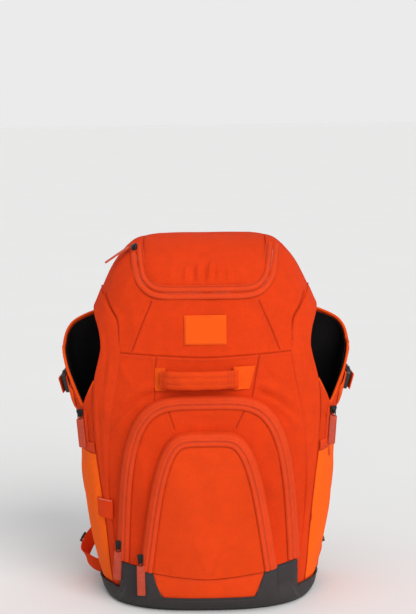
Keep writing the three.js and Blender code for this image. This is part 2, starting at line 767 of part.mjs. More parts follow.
const handlePath = steps(10).map((k) => {
  const x = lerp(handle.left, handle.right, k);
  const lift = handle.rise * Math.sin(Math.PI * k) ** 0.5;
  const root = layGap + anchor.thick + gap + handle.thick * padEnd / 2;
  return v3(x, frontY(x, handleZ) - root - lift, handleZ);
});
const handleSection = padSection(handle.tall, handle.thick);
piece('grab_handle', sweep(handlePath, handleSection, () => v3(0, 0, 1)), 'orange');

// Tabs and sliders: bars laid along a surface, from one place on it to another
function tabGeometry(surface, from, to, out, width, thick, count = 4) {
  const places = steps(count).map((k) => [lerp(from[0], to[0], k), lerp(from[1], to[1], k)]);
  const path = places.map(([u, v]) => offset(surface, u, v, out + thick / 2));
  const along = path[path.length - 1].clone().sub(path[0]);
  const across = (k) => {
    const [u, v] = places[Math.round(k * count)];
    return along.clone().cross(normalAt(surface, u, v));
  };
  return sweep(path, flatSection(width, thick), across);
}

const archHang = layGap + tape + gap;
const baseOrPocket = (face) => (x, z) => v3(x, z > archFoot(x) ? face(x, z) : baseFrontY(x, z), z);

function hangSlider(name, surface, from, aim, out) {
  const [x, z] = from;
  const low = [x + aim * slider.length, z - slider.length];
  piece(`${name}_slider`, tabGeometry(surface, from, low, out, slider.width, slider.thick, 2), 'black', 0.4);
  const start = [low[0] + aim * pullGap, low[1] - pullGap];
  const end = [start[0] + aim * pull.length, start[1] - pull.length];
  piece(`${name}_pull`, tabGeometry(surface, start, end, out, pull.width, pull.thick), 'terracotta', 0.6);
}

hangSlider('outer', baseOrPocket(outerPocketY), [-118, 92], -0.06, archHang);
hangSlider('inner', baseOrPocket(innerPocketY), [-87, 80], 0, archHang);

// Zip line of a sleeve, with its slider and pull hanging from the foot of the mouth
[['left', -1], ['right', 1]].forEach(([name, side]) => {
  const surface = (u, z) => sleeveAt(side, u, z);
  const at = (zipU.from + zipU.to) / 2;
  const foot = zipTop - slider.length;
  piece(`sleeve_slider_${name}`, tabGeometry(surface, [at, zipTop - 2], [at, foot], archHang,
    slider.width, slider.thick, 2), 'black', 0.4);
  piece(`sleeve_pull_${name}`, tabGeometry(surface, [at, foot - pullGap], [at, foot - pull.length],
    archHang, pull.width, pull.thick), 'terracotta', 0.6);

  // Compression strap round the sleeve below its rim, with a side release buckle on it
  const strapU = { from: 0.27, to: 0.82 };
  const strapMid = (u) => compressionZ + compressionRise * (u - strapU.from);
  const strapEdge = (share) => (u) => strapMid(u) + share * webbing.width;
  const strap = onSleeve(side, strapEdge(0.5), strapEdge(-0.5));
  const strapUs = [strapU.from, 0.3, 0.38, 0.45, 0.55, 0.65, 0.75, strapU.to];
  const strapOut = layGap + strapSlack;
  const strapSheet = sheet(strap, strapUs, [0, 0.5, 1], strapOut, strapOut + webbing.thick);
  piece(`compression_strap_${name}`, strapSheet, 'brightOrange');
  const middle = onSleeve(side, strapMid, (u) => strapMid(u) - 1);
  const buckleOut = strapOut + webbing.thick + gap + 0.6;
  piece(`buckle_${name}`, tabGeometry(middle, [0.44, 0], [0.58, 0], buckleOut,
    buckle.width, buckle.thick, 3), 'black', 0.35);
});

// Lid slider and its stiff pull, which stands out over the left shoulder
piece('lid_slider', tabGeometry(lidBandSurface, [0.075, 0.55], [0.02, 0.55], archHang,
  slider.width, slider.thick, 2), 'black', 0.4);
const lidPullTop = offset(lidBandSurface, 0.015, 0.55, archHang + slider.thick / 2);
const lidPullAim = v3(-0.83, -0.14, -0.54);
const lidPullPath = steps(3).map((k) => (
  lidPullTop.clone().addScaledVector(lidPullAim, lidPull.start + k * lidPull.length)
));
const lidPullSection = flatSection(lidPull.width, lidPull.thick);
piece('lid_pull', sweep(lidPullPath, lidPullSection, () => v3(0, 1, 0)), 'terracotta', 0.6);

// Folded tab over the seam of the left side pocket
piece('side_tab', sheet(frontSurface, spread(sideTab.left, sideTab.right, 2), [sideTab.bottom, sideTab.top],
  archHang + gap, archHang + gap + sideTab.thick), 'brightOrange');

// Padded back
function backPadRing(share, y) {
  const count = 24;
  const power = 5;
  const middle = (backPad.top + backPad.bottom) / 2;
  const tall = (backPad.top - backPad.bottom) / 2;
  return Array.from({ length: count }, (_, i) => {
    const a = (2 * Math.PI * i) / count;
    const bend = (q) => Math.sign(q) * Math.abs(q) ** (2 / power);
    return v3(share * backPad.half * bend(Math.cos(a)), y, middle + share * tall * bend(Math.sin(a)));
  });
}

const backY = backReach + gap + 0.4;
const backMiddle = (backPad.top + backPad.bottom) / 2;
piece('back_panel', loft([
  backPadRing(0.97, backY),
  backPadRing(1, backY + backPad.thick * 0.35),
  backPadRing(0.985, backY + backPad.thick * 0.72),
  backPadRing(0.93, backY + backPad.thick * 0.93),
  backPadRing(0.7, backY + backPad.thick),
], v3(0, backY, backMiddle), v3(0, backY + backPad.thick, backMiddle)), 'charcoal', 0.9);

// Shoulder straps: padded from the top of the back, then webbing to the base corners
const STRAP_PATH = [
  { x: 0.42, y: 0.0, z: 0.948 },
  { x: 0.44, y: 0.42, z: 0.915 },
  { x: 0.47, y: 0.72, z: 0.872 },
  { x: 0.53, y: 0.92, z: 0.81 },
  { x: 0.62, y: 1.0, z: 0.71 },
  { x: 0.72, y: 1.0, z: 0.61 },
  { x: 0.83, y: 0.96, z: 0.51 },
  { x: 0.93, y: 0.8, z: 0.42 },
  { x: 1.0, y: 0.62, z: 0.355 },
];
const strapReach = { x: 98, near: 98.6, far: 36 };
const strapPoint = (side) => ({ x, y, z }) => (
  v3(side * x * strapReach.x, strapReach.near + y * strapReach.far, z * bagHeight)
);

[['left', -1], ['right', 1]].forEach(([name, side]) => {
  const path = STRAP_PATH.map(strapPoint(side));
  const section = padSection(strapPad.width, strapPad.thick);
  piece(`shoulder_strap_${name}`, sweep(path, section, () => v3(1, 0, 0)), 'charcoal', 0.9);
});

// Webbing from the foot of each strap to the base, the left one bowed out past the side.
// x: share of the half width. y: share of the back reach. z: share of the bag height.
const WEB_PATHS = {
  left: [
    { x: 0.538, y: 1.227, z: 0.3406 }, { x: 0.609, y: 1.165, z: 0.2772 }, { x: 0.728, y: 1.103, z: 0.202 },
    { x: 0.859, y: 1.021, z: 0.1386 }, { x: 0.957, y: 0.928, z: 0.095 }, { x: 0.984, y: 0.804, z: 0.0634 },
    { x: 0.924, y: 0.68, z: 0.0436 },
  ],
  right: [
    { x: 0.538, y: 1.227, z: 0.3406 }, { x: 0.609, y: 1.165, z: 0.2772 }, { x: 0.707, y: 1.103, z: 0.202 },
    { x: 0.805, y: 1.021, z: 0.1386 }, { x: 0.859, y: 0.928, z: 0.0911 }, { x: 0.875, y: 0.804, z: 0.0594 },
    { x: 0.87, y: 0.69, z: 0.0436 },
  ],
};
const webEnd = { y: 0.577, z: 0.0337, out: 1.8 };

// Place on the side of the base that the webbing is sewn to
function webFoot(side) {
  const z = webEnd.z * bagHeight;
  const y = webEnd.y * backReach;
  return v3(side * (sideX(y, z) + baseWall + baseSlack + webEnd.out), y, z);
}

[['left', -1], ['right', 1]].forEach(([name, side]) => {
  const bends = WEB_PATHS[name].map(({ x, y, z }) => v3(side * x * halfWidth, y * backReach, z * bagHeight));
  const points = [...bends, webFoot(side)];
  const across = (k) => v3(side * lerp(0.94, 0.2, k), lerp(0.1, -0.6, k), lerp(0.34, 0.75, k));
  piece(`strap_web_${name}`, sweep(points, flatSection(strapWebWidth, webbing.thick), across), 'orange');

  // Ladder lock on the outer face of the webbing, half way along it
  const at = Math.floor(points.length / 2);
  const along = points[at + 1].clone().sub(points[at - 1]).normalize();
  const wide = across(at / (points.length - 1));
  wide.addScaledVector(along, -wide.dot(along)).normalize();
  const out = along.clone().cross(wide);
  out.multiplyScalar(Math.sign(out.x * side) || 1);
  const seat = points[at].clone().addScaledVector(out, webbing.thick / 2 + gap + 0.5 + lock.thick / 2);
  const ends = [-0.5, 0.5].map((k) => seat.clone().addScaledVector(along, k * lock.tall));
  piece(`ladder_lock_${name}`, sweep(ends, flatSection(lock.width, lock.thick), () => wide), 'black', 0.4);
});

// Stand the bag with the middle of its footprint on the origin
const bounds = new THREE.Box3().setFromObject(group);
group.position.y = -(bounds.min.y + bounds.max.y) / 2;

export default group;
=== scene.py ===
"""Looks of an orange baseball bat backpack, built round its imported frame.

The classes work in millimetres in the bag's own frame: X across, Y to the back, Z up, with the
front skin's reach measured from Y = 0. Meshes are written in metres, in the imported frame.
"""

import logging
import math
from dataclasses import dataclass, replace
from enum import Enum
from typing import Callable, Sequence

import bmesh
import bpy
import numpy as np
from mathutils import Matrix, Vector
from mathutils.bvhtree import BVHTree


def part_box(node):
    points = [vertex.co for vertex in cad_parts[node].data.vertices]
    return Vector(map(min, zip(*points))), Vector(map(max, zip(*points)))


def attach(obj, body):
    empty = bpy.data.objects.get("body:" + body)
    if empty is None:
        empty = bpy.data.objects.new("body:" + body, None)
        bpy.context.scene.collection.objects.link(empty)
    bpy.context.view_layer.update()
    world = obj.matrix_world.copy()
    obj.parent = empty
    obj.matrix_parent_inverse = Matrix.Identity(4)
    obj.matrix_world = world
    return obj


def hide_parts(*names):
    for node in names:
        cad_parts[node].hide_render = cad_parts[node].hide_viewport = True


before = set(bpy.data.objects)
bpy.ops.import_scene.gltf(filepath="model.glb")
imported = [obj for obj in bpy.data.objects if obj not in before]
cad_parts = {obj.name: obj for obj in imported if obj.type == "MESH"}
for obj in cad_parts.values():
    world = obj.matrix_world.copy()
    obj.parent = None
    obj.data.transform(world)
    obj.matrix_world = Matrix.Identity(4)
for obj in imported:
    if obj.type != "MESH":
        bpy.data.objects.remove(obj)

Array = np.ndarray
Surface = Callable[[Array, Array], Array]
LOG = logging.getLogger("backpack")
MM = 0.001
PATTERN = "pattern"
# Name of the attribute that says where shade is painted into seams and creases.
CREASE_SHADE = "crease"


# Small maths


def lerp(a: Array | float, b: Array | float, k: Array | float) -> Array | float:
    """Returns the value a share k of the way from a to b."""
    return a + (b - a) * k


def smooth(k: Array | float) -> Array:
    """Returns k held between 0 and 1, with soft ends."""
    held = np.clip(k, 0.0, 1.0)
    return held * held * (3.0 - 2.0 * held)


def column(rows: Sequence[Sequence[float]], place: int, at: Array | float) -> Array:
    """Reads one column of a table between its rows, with smooth slopes.

    Args:
        rows: The table; its first column is the key.
        place: Which column to read.
        at: Where to read it.

    Returns:
        The column's values.
    """
    table = np.array(rows, float)
    key, value = table[:, 0], table[:, place]
    at = np.asarray(at, float)
    last = len(key) - 1
    i = np.searchsorted(key[1:last], at, side="left")
    width = key[i + 1] - key[i]
    k = np.clip((at - key[i]) / width, 0.0, 1.0)
    before, after = np.maximum(i - 1, 0), np.minimum(i + 2, last)
    m0 = (value[i + 1] - value[before]) / (key[i + 1] - key[before]) * width
    m1 = (value[after] - value[i]) / (key[after] - key[i]) * width
    h = 2 * k**3 - 3 * k**2 + 1
    bend = (k**3 - 2 * k**2 + k) * m0 + (k**3 - k**2) * m1
    return h * value[i] + (1 - h) * value[i + 1] + bend


def unit(v: Array) -> Array:
    """Returns the vectors at length 1."""
    return v / np.maximum(np.linalg.norm(v, axis=-1, keepdims=True), 1e-12)


def ripples(points: Array, wave: float, seed: int, stretch: Sequence[float] = (1, 1, 1)) -> Array:
    """Soft undulation between about -1 and 1.

    Args:
        points: Places, in mm.
        wave: Typical length of a wave, in mm.
        seed: Seed of the waves' directions.
        stretch: Share of the wave's count along each axis.

    Returns:
        A height for each place.
    """
    rng = np.random.default_rng(seed)
    total = np.zeros(len(points))
    count = 9
    for _ in range(count):
        way = unit(rng.normal(size=3)) * np.array(stretch, float)
        rate = 2 * math.pi / (wave * rng.uniform(0.7, 1.4))
        total += np.sin(points @ way * rate + rng.uniform(0, 2 * math.pi))
    return total / math.sqrt(count * 1.4)


def along_line(line: Array, step: float) -> Array:
    """Returns the line with points every step mm."""
    line = np.asarray(line, float)
    lengths = np.concatenate([[0.0], np.cumsum(np.linalg.norm(np.diff(line, axis=0), axis=1))])
    count = max(int(math.ceil(lengths[-1] / step)), 1) + 1
    at = np.linspace(0.0, lengths[-1], count)
    return np.stack([np.interp(at, lengths, line[:, i]) for i in range(line.shape[1])], axis=1)


def rounded_line(line: Sequence[Sequence[float]], step: float) -> Array:
    """Returns a smooth curve through a line's points, with points every step mm."""
    line = np.asarray(line, float)
    lengths = np.concatenate([[0.0], np.cumsum(np.linalg.norm(np.diff(line, axis=0), axis=1))])
    if len(line) < 3:
        return along_line(line, step)
    at = np.linspace(0.0, lengths[-1], max(int(lengths[-1] / step), 2) + 1)
    rows = np.column_stack([lengths, line])
    return np.stack([column(rows, i + 1, at) for i in range(line.shape[1])], axis=1)


def nearest(points: Array, line: Array) -> tuple[Array, Array]:
    """Distance from points to a line, and the share of the way along it.

    Args:
        points: Places, one a row.
        line: The line's points.

    Returns:
        The distances and the shares.
    """
    best = np.full(len(points), 1e9)
    share = np.zeros(len(points))
    steps = np.linalg.norm(np.diff(line, axis=0), axis=1)
    total = max(steps.sum(), 1e-9)
    walked = 0.0
    for a, b, step in zip(line[:-1], line[1:], steps):
        d = b - a
        t = np.clip((points - a) @ d / max(d @ d, 1e-12), 0, 1)
        away = np.linalg.norm(points - a - t[:, None] * d, axis=1)
        closer = away < best
        best = np.where(closer, away, best)
        share = np.where(closer, (walked + t * step) / total, share)
        walked += step
    return best, share


# Seams and folds


@dataclass(frozen=True)
class Seam:
    """A sewn line: a groove with a soft swell on both sides, in mm."""

    line: Array
    depth: float = 0.9
    width: float = 1.1
    swell: float = 0.5
    reach: float = 5.0

    def height(self, points: Array) -> Array:
        """Returns how far the seam lifts each place."""
        away, _ = nearest(points, self.line)
        groove = np.exp(-((away / self.width) ** 2))
        ridge = np.exp(-(((away - self.reach * 0.6) / (self.reach * 0.45)) ** 2))
        return self.swell * ridge - self.depth * groove

    def mark(self, points: Array) -> Array:
        """Returns how deep in the seam each place is, 0 to 1: how much shade is painted there."""
        away, _ = nearest(points, self.line)
        return np.exp(-((away / (self.width * 1.15)) ** 2))


@dataclass(frozen=True)
class Fold:
    """A soft ridge, or a hollow where the height is below zero, in mm."""

    line: Array
    height_mm: float
    width: float

    def height(self, points: Array) -> Array:
        """Returns how far the fold lifts each place."""
        away, share = nearest(points, self.line)
        ends = smooth(share * 4) * smooth((1 - share) * 4)
        return self.height_mm * np.exp(-((away / self.width) ** 2)) * (0.15 + 0.85 * ends)


# Cloth: skins of triangles


@dataclass
class Cloth:
    """A skin of triangles with its flat pattern, before it is given a thickness, in mm."""

    points: Array
    faces: Array
    flat: Array
    # crease: how much shade is painted at each place, in seams and creases, 0 to 1.
    crease: Array

    @classmethod
    def grid(cls, surface: Surface, us: Array, vs: Array) -> "Cloth":
        """A skin over a surface(u, v).

        Args:
            surface: Places for arrays of u and v.
            us: Values across.
            vs: Values along.

        Returns:
            The skin.
        """
        u, v = np.meshgrid(us, vs)
        places = surface(u, v)
        return cls.rows(places)

    @classmethod
    def rows(cls, places: Array) -> "Cloth":
        """A skin through rows of places, an array of rows by columns by 3."""
        tall, wide = places.shape[:2]
        across = np.linalg.norm(np.diff(places, axis=1), axis=2)
        up = np.linalg.norm(np.diff(places, axis=0), axis=2)
        flat_u = np.concatenate([np.zeros((tall, 1)), np.cumsum(across, axis=1)], axis=1)
        flat_v = np.concatenate([np.zeros((1, wide)), np.cumsum(up, axis=0)], axis=0)
        flat_u -= flat_u[:, wide // 2][:, None]
        flat_v -= flat_v[tall // 2][None, :]
        index = np.arange(tall * wide).reshape(tall, wide)
        a, b = index[:-1, :-1].ravel(), index[:-1, 1:].ravel()
        c, d = index[1:, 1:].ravel(), index[1:, :-1].ravel()
        faces = np.concatenate([np.column_stack([a, b, c]), np.column_stack([a, c, d])])
        flat = np.column_stack([flat_u.ravel(), flat_v.ravel()])
        points = places.reshape(-1, 3).copy()
        return cls(points, faces, flat, np.zeros(len(points)))

    def facing(self, centre: Sequence[float]) -> "Cloth":
        """Turns the faces away from a point."""
        p = self.points[self.faces]
        normal = np.cross(p[:, 1] - p[:, 0], p[:, 2] - p[:, 0])
        if (normal * (p.mean(axis=1) - np.array(centre, float))).sum() < 0:
            self.faces = self.faces[:, ::-1].copy()
        return self

    def welded(self) -> Array:
        """Returns an index of each place, the same for places that coincide."""
        _, key = np.unique(np.round(self.points, 2), axis=0, return_inverse=True)
        return key.reshape(-1)

    def normals(self) -> Array:
        """Returns the outward direction at each place."""
        p = self.points[self.faces]
        normal = np.cross(p[:, 1] - p[:, 0], p[:, 2] - p[:, 0])
        key = self.welded()
        total = np.zeros((key.max() + 1, 3))
        for corner in range(3):
            np.add.at(total, key[self.faces[:, corner]], normal)
        return unit(total[key])

    def lift(self, height: Array | float, normals: Array | None = None) -> "Cloth":
        """Moves each place outwards by a height."""
        way = self.normals() if normals is None else normals
        self.points = self.points + way * np.reshape(height, (-1, 1))
        return self

    def cut(self, value: Array) -> "Cloth":
        """Keeps the part where value is below zero, with a clean edge through the faces."""
        inside = value < 0
        count = inside[self.faces].sum(axis=1)
        whole = self.faces[count == 3]
        made: list[tuple[int, int, int]] = []
        extra: dict[tuple[int, int], int] = {}
        pairs: list[tuple[int, int, float]] = []

        def crossing(i: int, j: int) -> int:
            """Returns the index of the place where the edge crosses zero."""
            key = (min(i, j), max(i, j))
            if key not in extra:
                extra[key] = len(self.points) + len(pairs)
                a, b = key
                pairs.append((a, b, float(value[a] / (value[a] - value[b]))))
            return extra[key]

        for face in self.faces[(count == 1) | (count == 2)]:
            flags = [bool(inside[k]) for k in face]
            turn = flags.index(True) if sum(flags) == 1 else (flags.index(False) + 1) % 3
            a, b, c = (int(face[(turn + k) % 3]) for k in range(3))
            if sum(flags) == 1:
                made.append((a, crossing(a, b), crossing(a, c)))
            else:
                ac, bc = crossing(a, c), crossing(b, c)
                made += [(a, b, bc), (a, bc, ac)]
        if pairs:
            i = np.array([p[0] for p in pairs])
            j = np.array([p[1] for p in pairs])
            k = np.array([p[2] for p in pairs])
            self._append(i, j, k)
        faces = np.concatenate([whole, np.array(made, int).reshape(-1, 3)])
        used, inverse = np.unique(faces, return_inverse=True)
        self.faces = inverse.reshape(-1, 3)
        self.points, self.flat, self.crease = self.points[used], self.flat[used], self.crease[used]
        return self

    def _append(self, i: Array, j: Array, k: Array) -> None:
        """Adds places a share k of the way from places i to places j."""
        for name in ("points", "flat", "crease"):
            held = getattr(self, name)
            share = k if held.ndim == 1 else k[:, None]
            setattr(self, name, np.concatenate([held, lerp(held[i], held[j], share)]))

    def refine(self, near: Callable[[Array], Array], times: int = 1) -> "Cloth":
        """Splits the faces where near() of their middles is true."""
        for _ in range(times):
            chosen = near(self.points[self.faces].mean(axis=1))
            edges = np.sort(self.faces[:, [[0, 1], [1, 2], [2, 0]]].reshape(-1, 2), axis=1)
            unique, inverse = np.unique(edges, axis=0, return_inverse=True)
            inverse = inverse.reshape(-1, 3)
            split = np.zeros(len(unique), bool)
            split[inverse[chosen].ravel()] = True
            number = np.full(len(unique), -1)
            number[split] = len(self.points) + np.arange(split.sum())
            self._append(unique[split, 0], unique[split, 1], np.full(split.sum(), 0.5))
            mids = number[inverse]
            count = (mids >= 0).sum(axis=1)
            out = [self.faces[count == 0]]
            f, m = self.faces[count == 3], mids[count == 3]
            out += [
                np.column_stack([f[:, 0], m[:, 0], m[:, 2]]),
                np.column_stack([m[:, 0], f[:, 1], m[:, 1]]),
                np.column_stack([m[:, 2], m[:, 1], f[:, 2]]),
                np.column_stack([m[:, 0], m[:, 1], m[:, 2]]),
            ]
            for turn in range(3):
                roll = [(turn + k) % 3 for k in range(3)]
                f, m = self.faces[:, roll], mids[:, roll]
                one = (count == 1) & (m[:, 0] >= 0)
                out += [
                    np.column_stack([f[one, 0], m[one, 0], f[one, 2]]),
                    np.column_stack([m[one, 0], f[one, 1], f[one, 2]]),
                ]
                two = (count == 2) & (m[:, 2] < 0)
                out += [
                    np.column_stack([f[two, 0], m[two, 0], f[two, 2]]),
                    np.column_stack([m[two, 0], f[two, 1], m[two, 1]]),
                    np.column_stack([m[two, 0], m[two, 1], f[two, 2]]),
                ]
            self.faces = np.concatenate(out)
        return self

    def dress(
        self, seams: Sequence[Seam] = (), folds: Sequence[Fold] = (), more: Array | float = 0.0
    ) -> "Cloth":
        """Presses seams and folds into the skin.

        Args:
            seams: The sewn lines.
            folds: The folds.
            more: A further height at each place.

        Returns:
            The skin itself.
        """
        at = self.points
        height = np.zeros(len(at)) + more
        for part in (*seams, *folds):
            height = height + part.height(at)
        # The seams' marks say where the material paints shade.
        for seam in seams:
            self.crease = np.maximum(self.crease, seam.mark(at))
        return self.lift(height)

    def rim(self) -> Array:
        """Returns the pairs of places along the open edges."""
        key = self.welded()
        directed = self.faces[:, [[0, 1], [1, 2], [2, 0]]].reshape(-1, 2)
        bare = np.sort(key[directed], axis=1)
        _, inverse, counts = np.unique(bare, axis=0, return_inverse=True, return_counts=True)
        return directed[counts[inverse.reshape(-1)] == 1]

    def solid(self, name: str, thick: float, finish: bpy.types.Material) -> bpy.types.Object:
        """Gives the skin a thickness inwards and makes it a piece.

        Args:
            name: The piece's name.
            thick: Thickness, in mm; 0 for a skin that is closed already.
            finish: The piece's material.

        Returns:
            The piece.
        """
        faces = [self.faces]
        points, flat, crease = self.points, self.flat, self.crease
        if thick > 0:
            n = len(points)
            inner = points - self.normals() * thick
            edge = self.rim()
            a, b = edge[:, 0], edge[:, 1]
            faces += [self.faces[:, ::-1] + n]
            faces += [np.column_stack([b, a, a + n]), np.column_stack([b, a + n, b + n])]
            points = np.concatenate([points, inner])
            flat, crease = np.concatenate([flat, flat]), np.concatenate([crease, crease])
        return mesh_piece(name, points, np.concatenate(faces), flat, crease, finish)


def to_metres(points: Array) -> Array:
    """Returns places of the bag's own frame, in mm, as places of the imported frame, in metres."""
    return (np.asarray(points, float) + np.array([0.0, FORM.shift, 0.0])) * MM


def mesh_piece(
    name: str, points: Array, faces: Array, flat: Array, crease: Array, finish: bpy.types.Material
) -> bpy.types.Object:
    """Makes a smooth shaded piece of triangles.

    Args:
        name: The piece's name.
        points: Places, in mm.
        faces: Triangles.
        flat: The flat pattern, in mm.
        crease: How deep in a seam each place is, where the material paints shade.
        finish: The material.

    Returns:
        The piece, in the scene.
    """
    mesh = bpy.data.meshes.new(name)
    mesh.from_pydata(to_metres(points).tolist(), [], np.asarray(faces, int).tolist())
    layer = mesh.uv_layers.new(name=PATTERN)
    corners = np.zeros(len(mesh.loops), np.int32)
    mesh.loops.foreach_get("vertex_index", corners)
    layer.data.foreach_set("uv", (flat[corners] * MM).astype(np.float32).ravel())
    held = mesh.attributes.new(CREASE_SHADE, "FLOAT", "POINT")
    held.data.foreach_set("value", np.asarray(crease, np.float32))
    bm = bmesh.new()
    bm.from_mesh(mesh)
    bmesh.ops.remove_doubles(bm, verts=bm.verts, dist=4e-6)
    bmesh.ops.dissolve_degenerate(bm, dist=1e-6, edges=bm.edges)
    bm.to_mesh(mesh)
    bm.free()
    return finish_mesh(name, mesh, finish)


def finish_mesh(name: str, mesh: bpy.types.Mesh, finish: bpy.types.Material) -> bpy.types.Object:
    """Shades a mesh and puts it in the scene as a piece."""
    mesh.shade_smooth()
    mesh.set_sharp_from_angle(angle=math.radians(48))
    mesh.materials.clear()
    mesh.materials.append(finish)
    piece = bpy.data.objects.new(name, mesh)
    bpy.context.scene.collection.objects.link(piece)
    return piece


def joined(name: str, parts: Sequence[bpy.types.Object]) -> bpy.types.Object:
    """Makes one piece of several, and removes them."""
    slots: list[bpy.types.Material] = []
    bm = bmesh.new()
    for part in parts:
        start = len(bm.faces)
        bm.from_mesh(part.data)
        bm.faces.ensure_lookup_table()
        places = []
        for material in part.data.materials:
            if material not in slots:
                slots.append(material)
            places.append(slots.index(material))
        for face in bm.faces[start:]:
            face.material_index = places[face.material_index]
    mesh = bpy.data.meshes.new(name)
    bm.to_mesh(mesh)
    bm.free()
    for part in parts:
        bpy.data.objects.remove(part)
    mesh.set_sharp_from_angle(angle=math.radians(48))
    for material in slots:
        mesh.materials.append(material)
    piece = bpy.data.objects.new(name, mesh)
    bpy.context.scene.collection.objects.link(piece)
    return piece


def sweep(
    path: Array, section: Callable[[float], Array], wide: Callable[[float], Array] | Sequence[float]
) -> Cloth:
    """A closed bar of a given cross section along a path.

    Args:
        path: The path's points, in mm.
        section: The section's outline at a share of the way, as rows of (wide, deep).
        wide: The width's direction, or a function of the share of the way.

    Returns:
        The bar's skin, closed at both ends.
    """
    path = np.asarray(path, float)
    count = len(path) - 1
    rings = []
    for i, p in enumerate(path):
        along = unit(path[min(i + 1, count)] - path[max(i - 1, 0)])
        w = np.array(wide(i / count) if callable(wide) else wide, float)
        w = unit(w - along * (w @ along))
        deep = np.cross(along, w)
        ring = np.asarray(section(i / count), float)
        ring = np.concatenate([ring, ring[:1]])
        rings.append(p + ring[:, :1] * w + ring[:, 1:] * deep)
    first = np.repeat(rings[0][:-1].mean(axis=0)[None], len(rings[0]), axis=0)
    last = np.repeat(rings[-1][:-1].mean(axis=0)[None], len(rings[0]), axis=0)
    cloth = Cloth.rows(np.array([first, *rings, last]))
    p = cloth.points[cloth.faces]
    if np.einsum("ij,ij->i", p[:, 0], np.cross(p[:, 1], p[:, 2])).sum() < 0:
        cloth.faces = cloth.faces[:, ::-1].copy()
    return cloth


def bent(q: Array, power: float) -> Array:
    """Returns a sine or cosine bent towards a squarer oval."""
    return np.sign(q) * np.abs(q) ** (2 / power)


def oval(width: float, thick: float, power: float = 2.0, count: int = 20) -> Array:
    """Returns the outline of a rounded bar's section."""
    a = np.linspace(0, 2 * math.pi, count, endpoint=False)
    return np.column_stack([width / 2 * bent(np.cos(a), power), thick / 2 * bent(np.sin(a), power)])


def tube(
    name: str, path: Array, width: float, finish: bpy.types.Material, thick: float = 0.0
) -> bpy.types.Object:
    """A cord or binding along a path.

    Args:
        name: The piece's name.
        path: The path, in mm.
        width: Width, in mm.
        finish: The material.
        thick: Thickness, in mm, where it isn't round.

    Returns:
        The piece.
    """
    ring = oval(width, thick or width, 2.4, 12)
    cloth = sweep(path, lambda _: ring, (0.13, 0.9, 0.31))
    return cloth.solid(name, 0, finish)


# The bag's own form, as in the frame's source


OUTLINE = (
    # z, front, half, seam, edge, core, full, back
    (0.006, 0.86, 0.79, 0.74, 0.79, 0.82, 0, 0.9),
    (0.02, 0.93, 0.81, 0.81, 0.82, 0.87, 0, 0.95),
    (0.04, 0.98, 0.825, 0.87, 0.84, 0.92, 0, 0.98),
    (0.085, 1, 0.858, 0.9, 0.86, 0.95, 0, 1),
    (0.164, 1, 0.9, 0.94, 0.88, 0.98, 0, 1),
    (0.244, 0.99, 0.932, 0.975, 0.905, 1, 0, 1),
    (0.333, 0.98, 0.958, 1, 0.94, 1, 0, 1),
    (0.432, 0.97, 0.98, 0.99, 0.98, 1, 0, 1),
    (0.541, 0.955, 1, 0.95, 1, 1, 0, 1),
    (0.61, 0.945, 0.985, 0.9, 0.985, 1, 0, 1),
    (0.699, 0.92, 0.96, 0.85, 0.92, 1, 0, 1),
    (0.743, 0.905, 0.935, 0.855, 0.92, 1.02, 0.15, 1),
    (0.78, 0.89, 0.89, 0.87, 0.93, 1.04, 0.6, 1),
    (0.812, 0.87, 0.84, 0.88, 0.93, 1.05, 1, 1),
    (0.846, 0.84, 0.8, 0.9, 0.92, 1, 1, 1),
    (0.883, 0.77, 0.755, 0.9, 0.9, 1, 1, 1),
    (0.921, 0.64, 0.7, 0.9, 0.95, 1, 1, 0.99),
    (0.95, 0.46, 0.64, 0.8, 0.9, 1, 1, 0.98),
    (0.974, 0.22, 0.575, 0.7, 0.8, 1, 1, 0.95),
    (0.989, -0.04, 0.5, 0.6, 0.7, 0.9, 1, 0.88),
    (0.997, -0.26, 0.36, 0.4, 0.5, 0.6, 1, 0.76),
)

RIM = (
    # share of the way round the mouth, share of the mouth's height
    (0, 0.78),
    (0.07, 0.726),
    (0.14, 0.687),
    (0.22, 0.72),
    (0.33, 0.794),
    (0.45, 0.882),
    (0.6, 0.942),
    (0.8, 0.98),
    (1, 1),
)

WAIST = (
    # share of the depth, share of the way from the seam to the narrow waist
    (0, 0),
    (0.07, 0.45),
    (0.22, 1),
    (0.5, 1),
    (0.7, 1),
    (0.86, 1.02),
    (0.96, 1.08),
)


class Col(Enum):
    """Columns of OUTLINE."""

    FRONT = 1
    HALF = 2
    SEAM = 3
    EDGE = 4
    CORE = 5
    FULL = 6
    BACK = 7


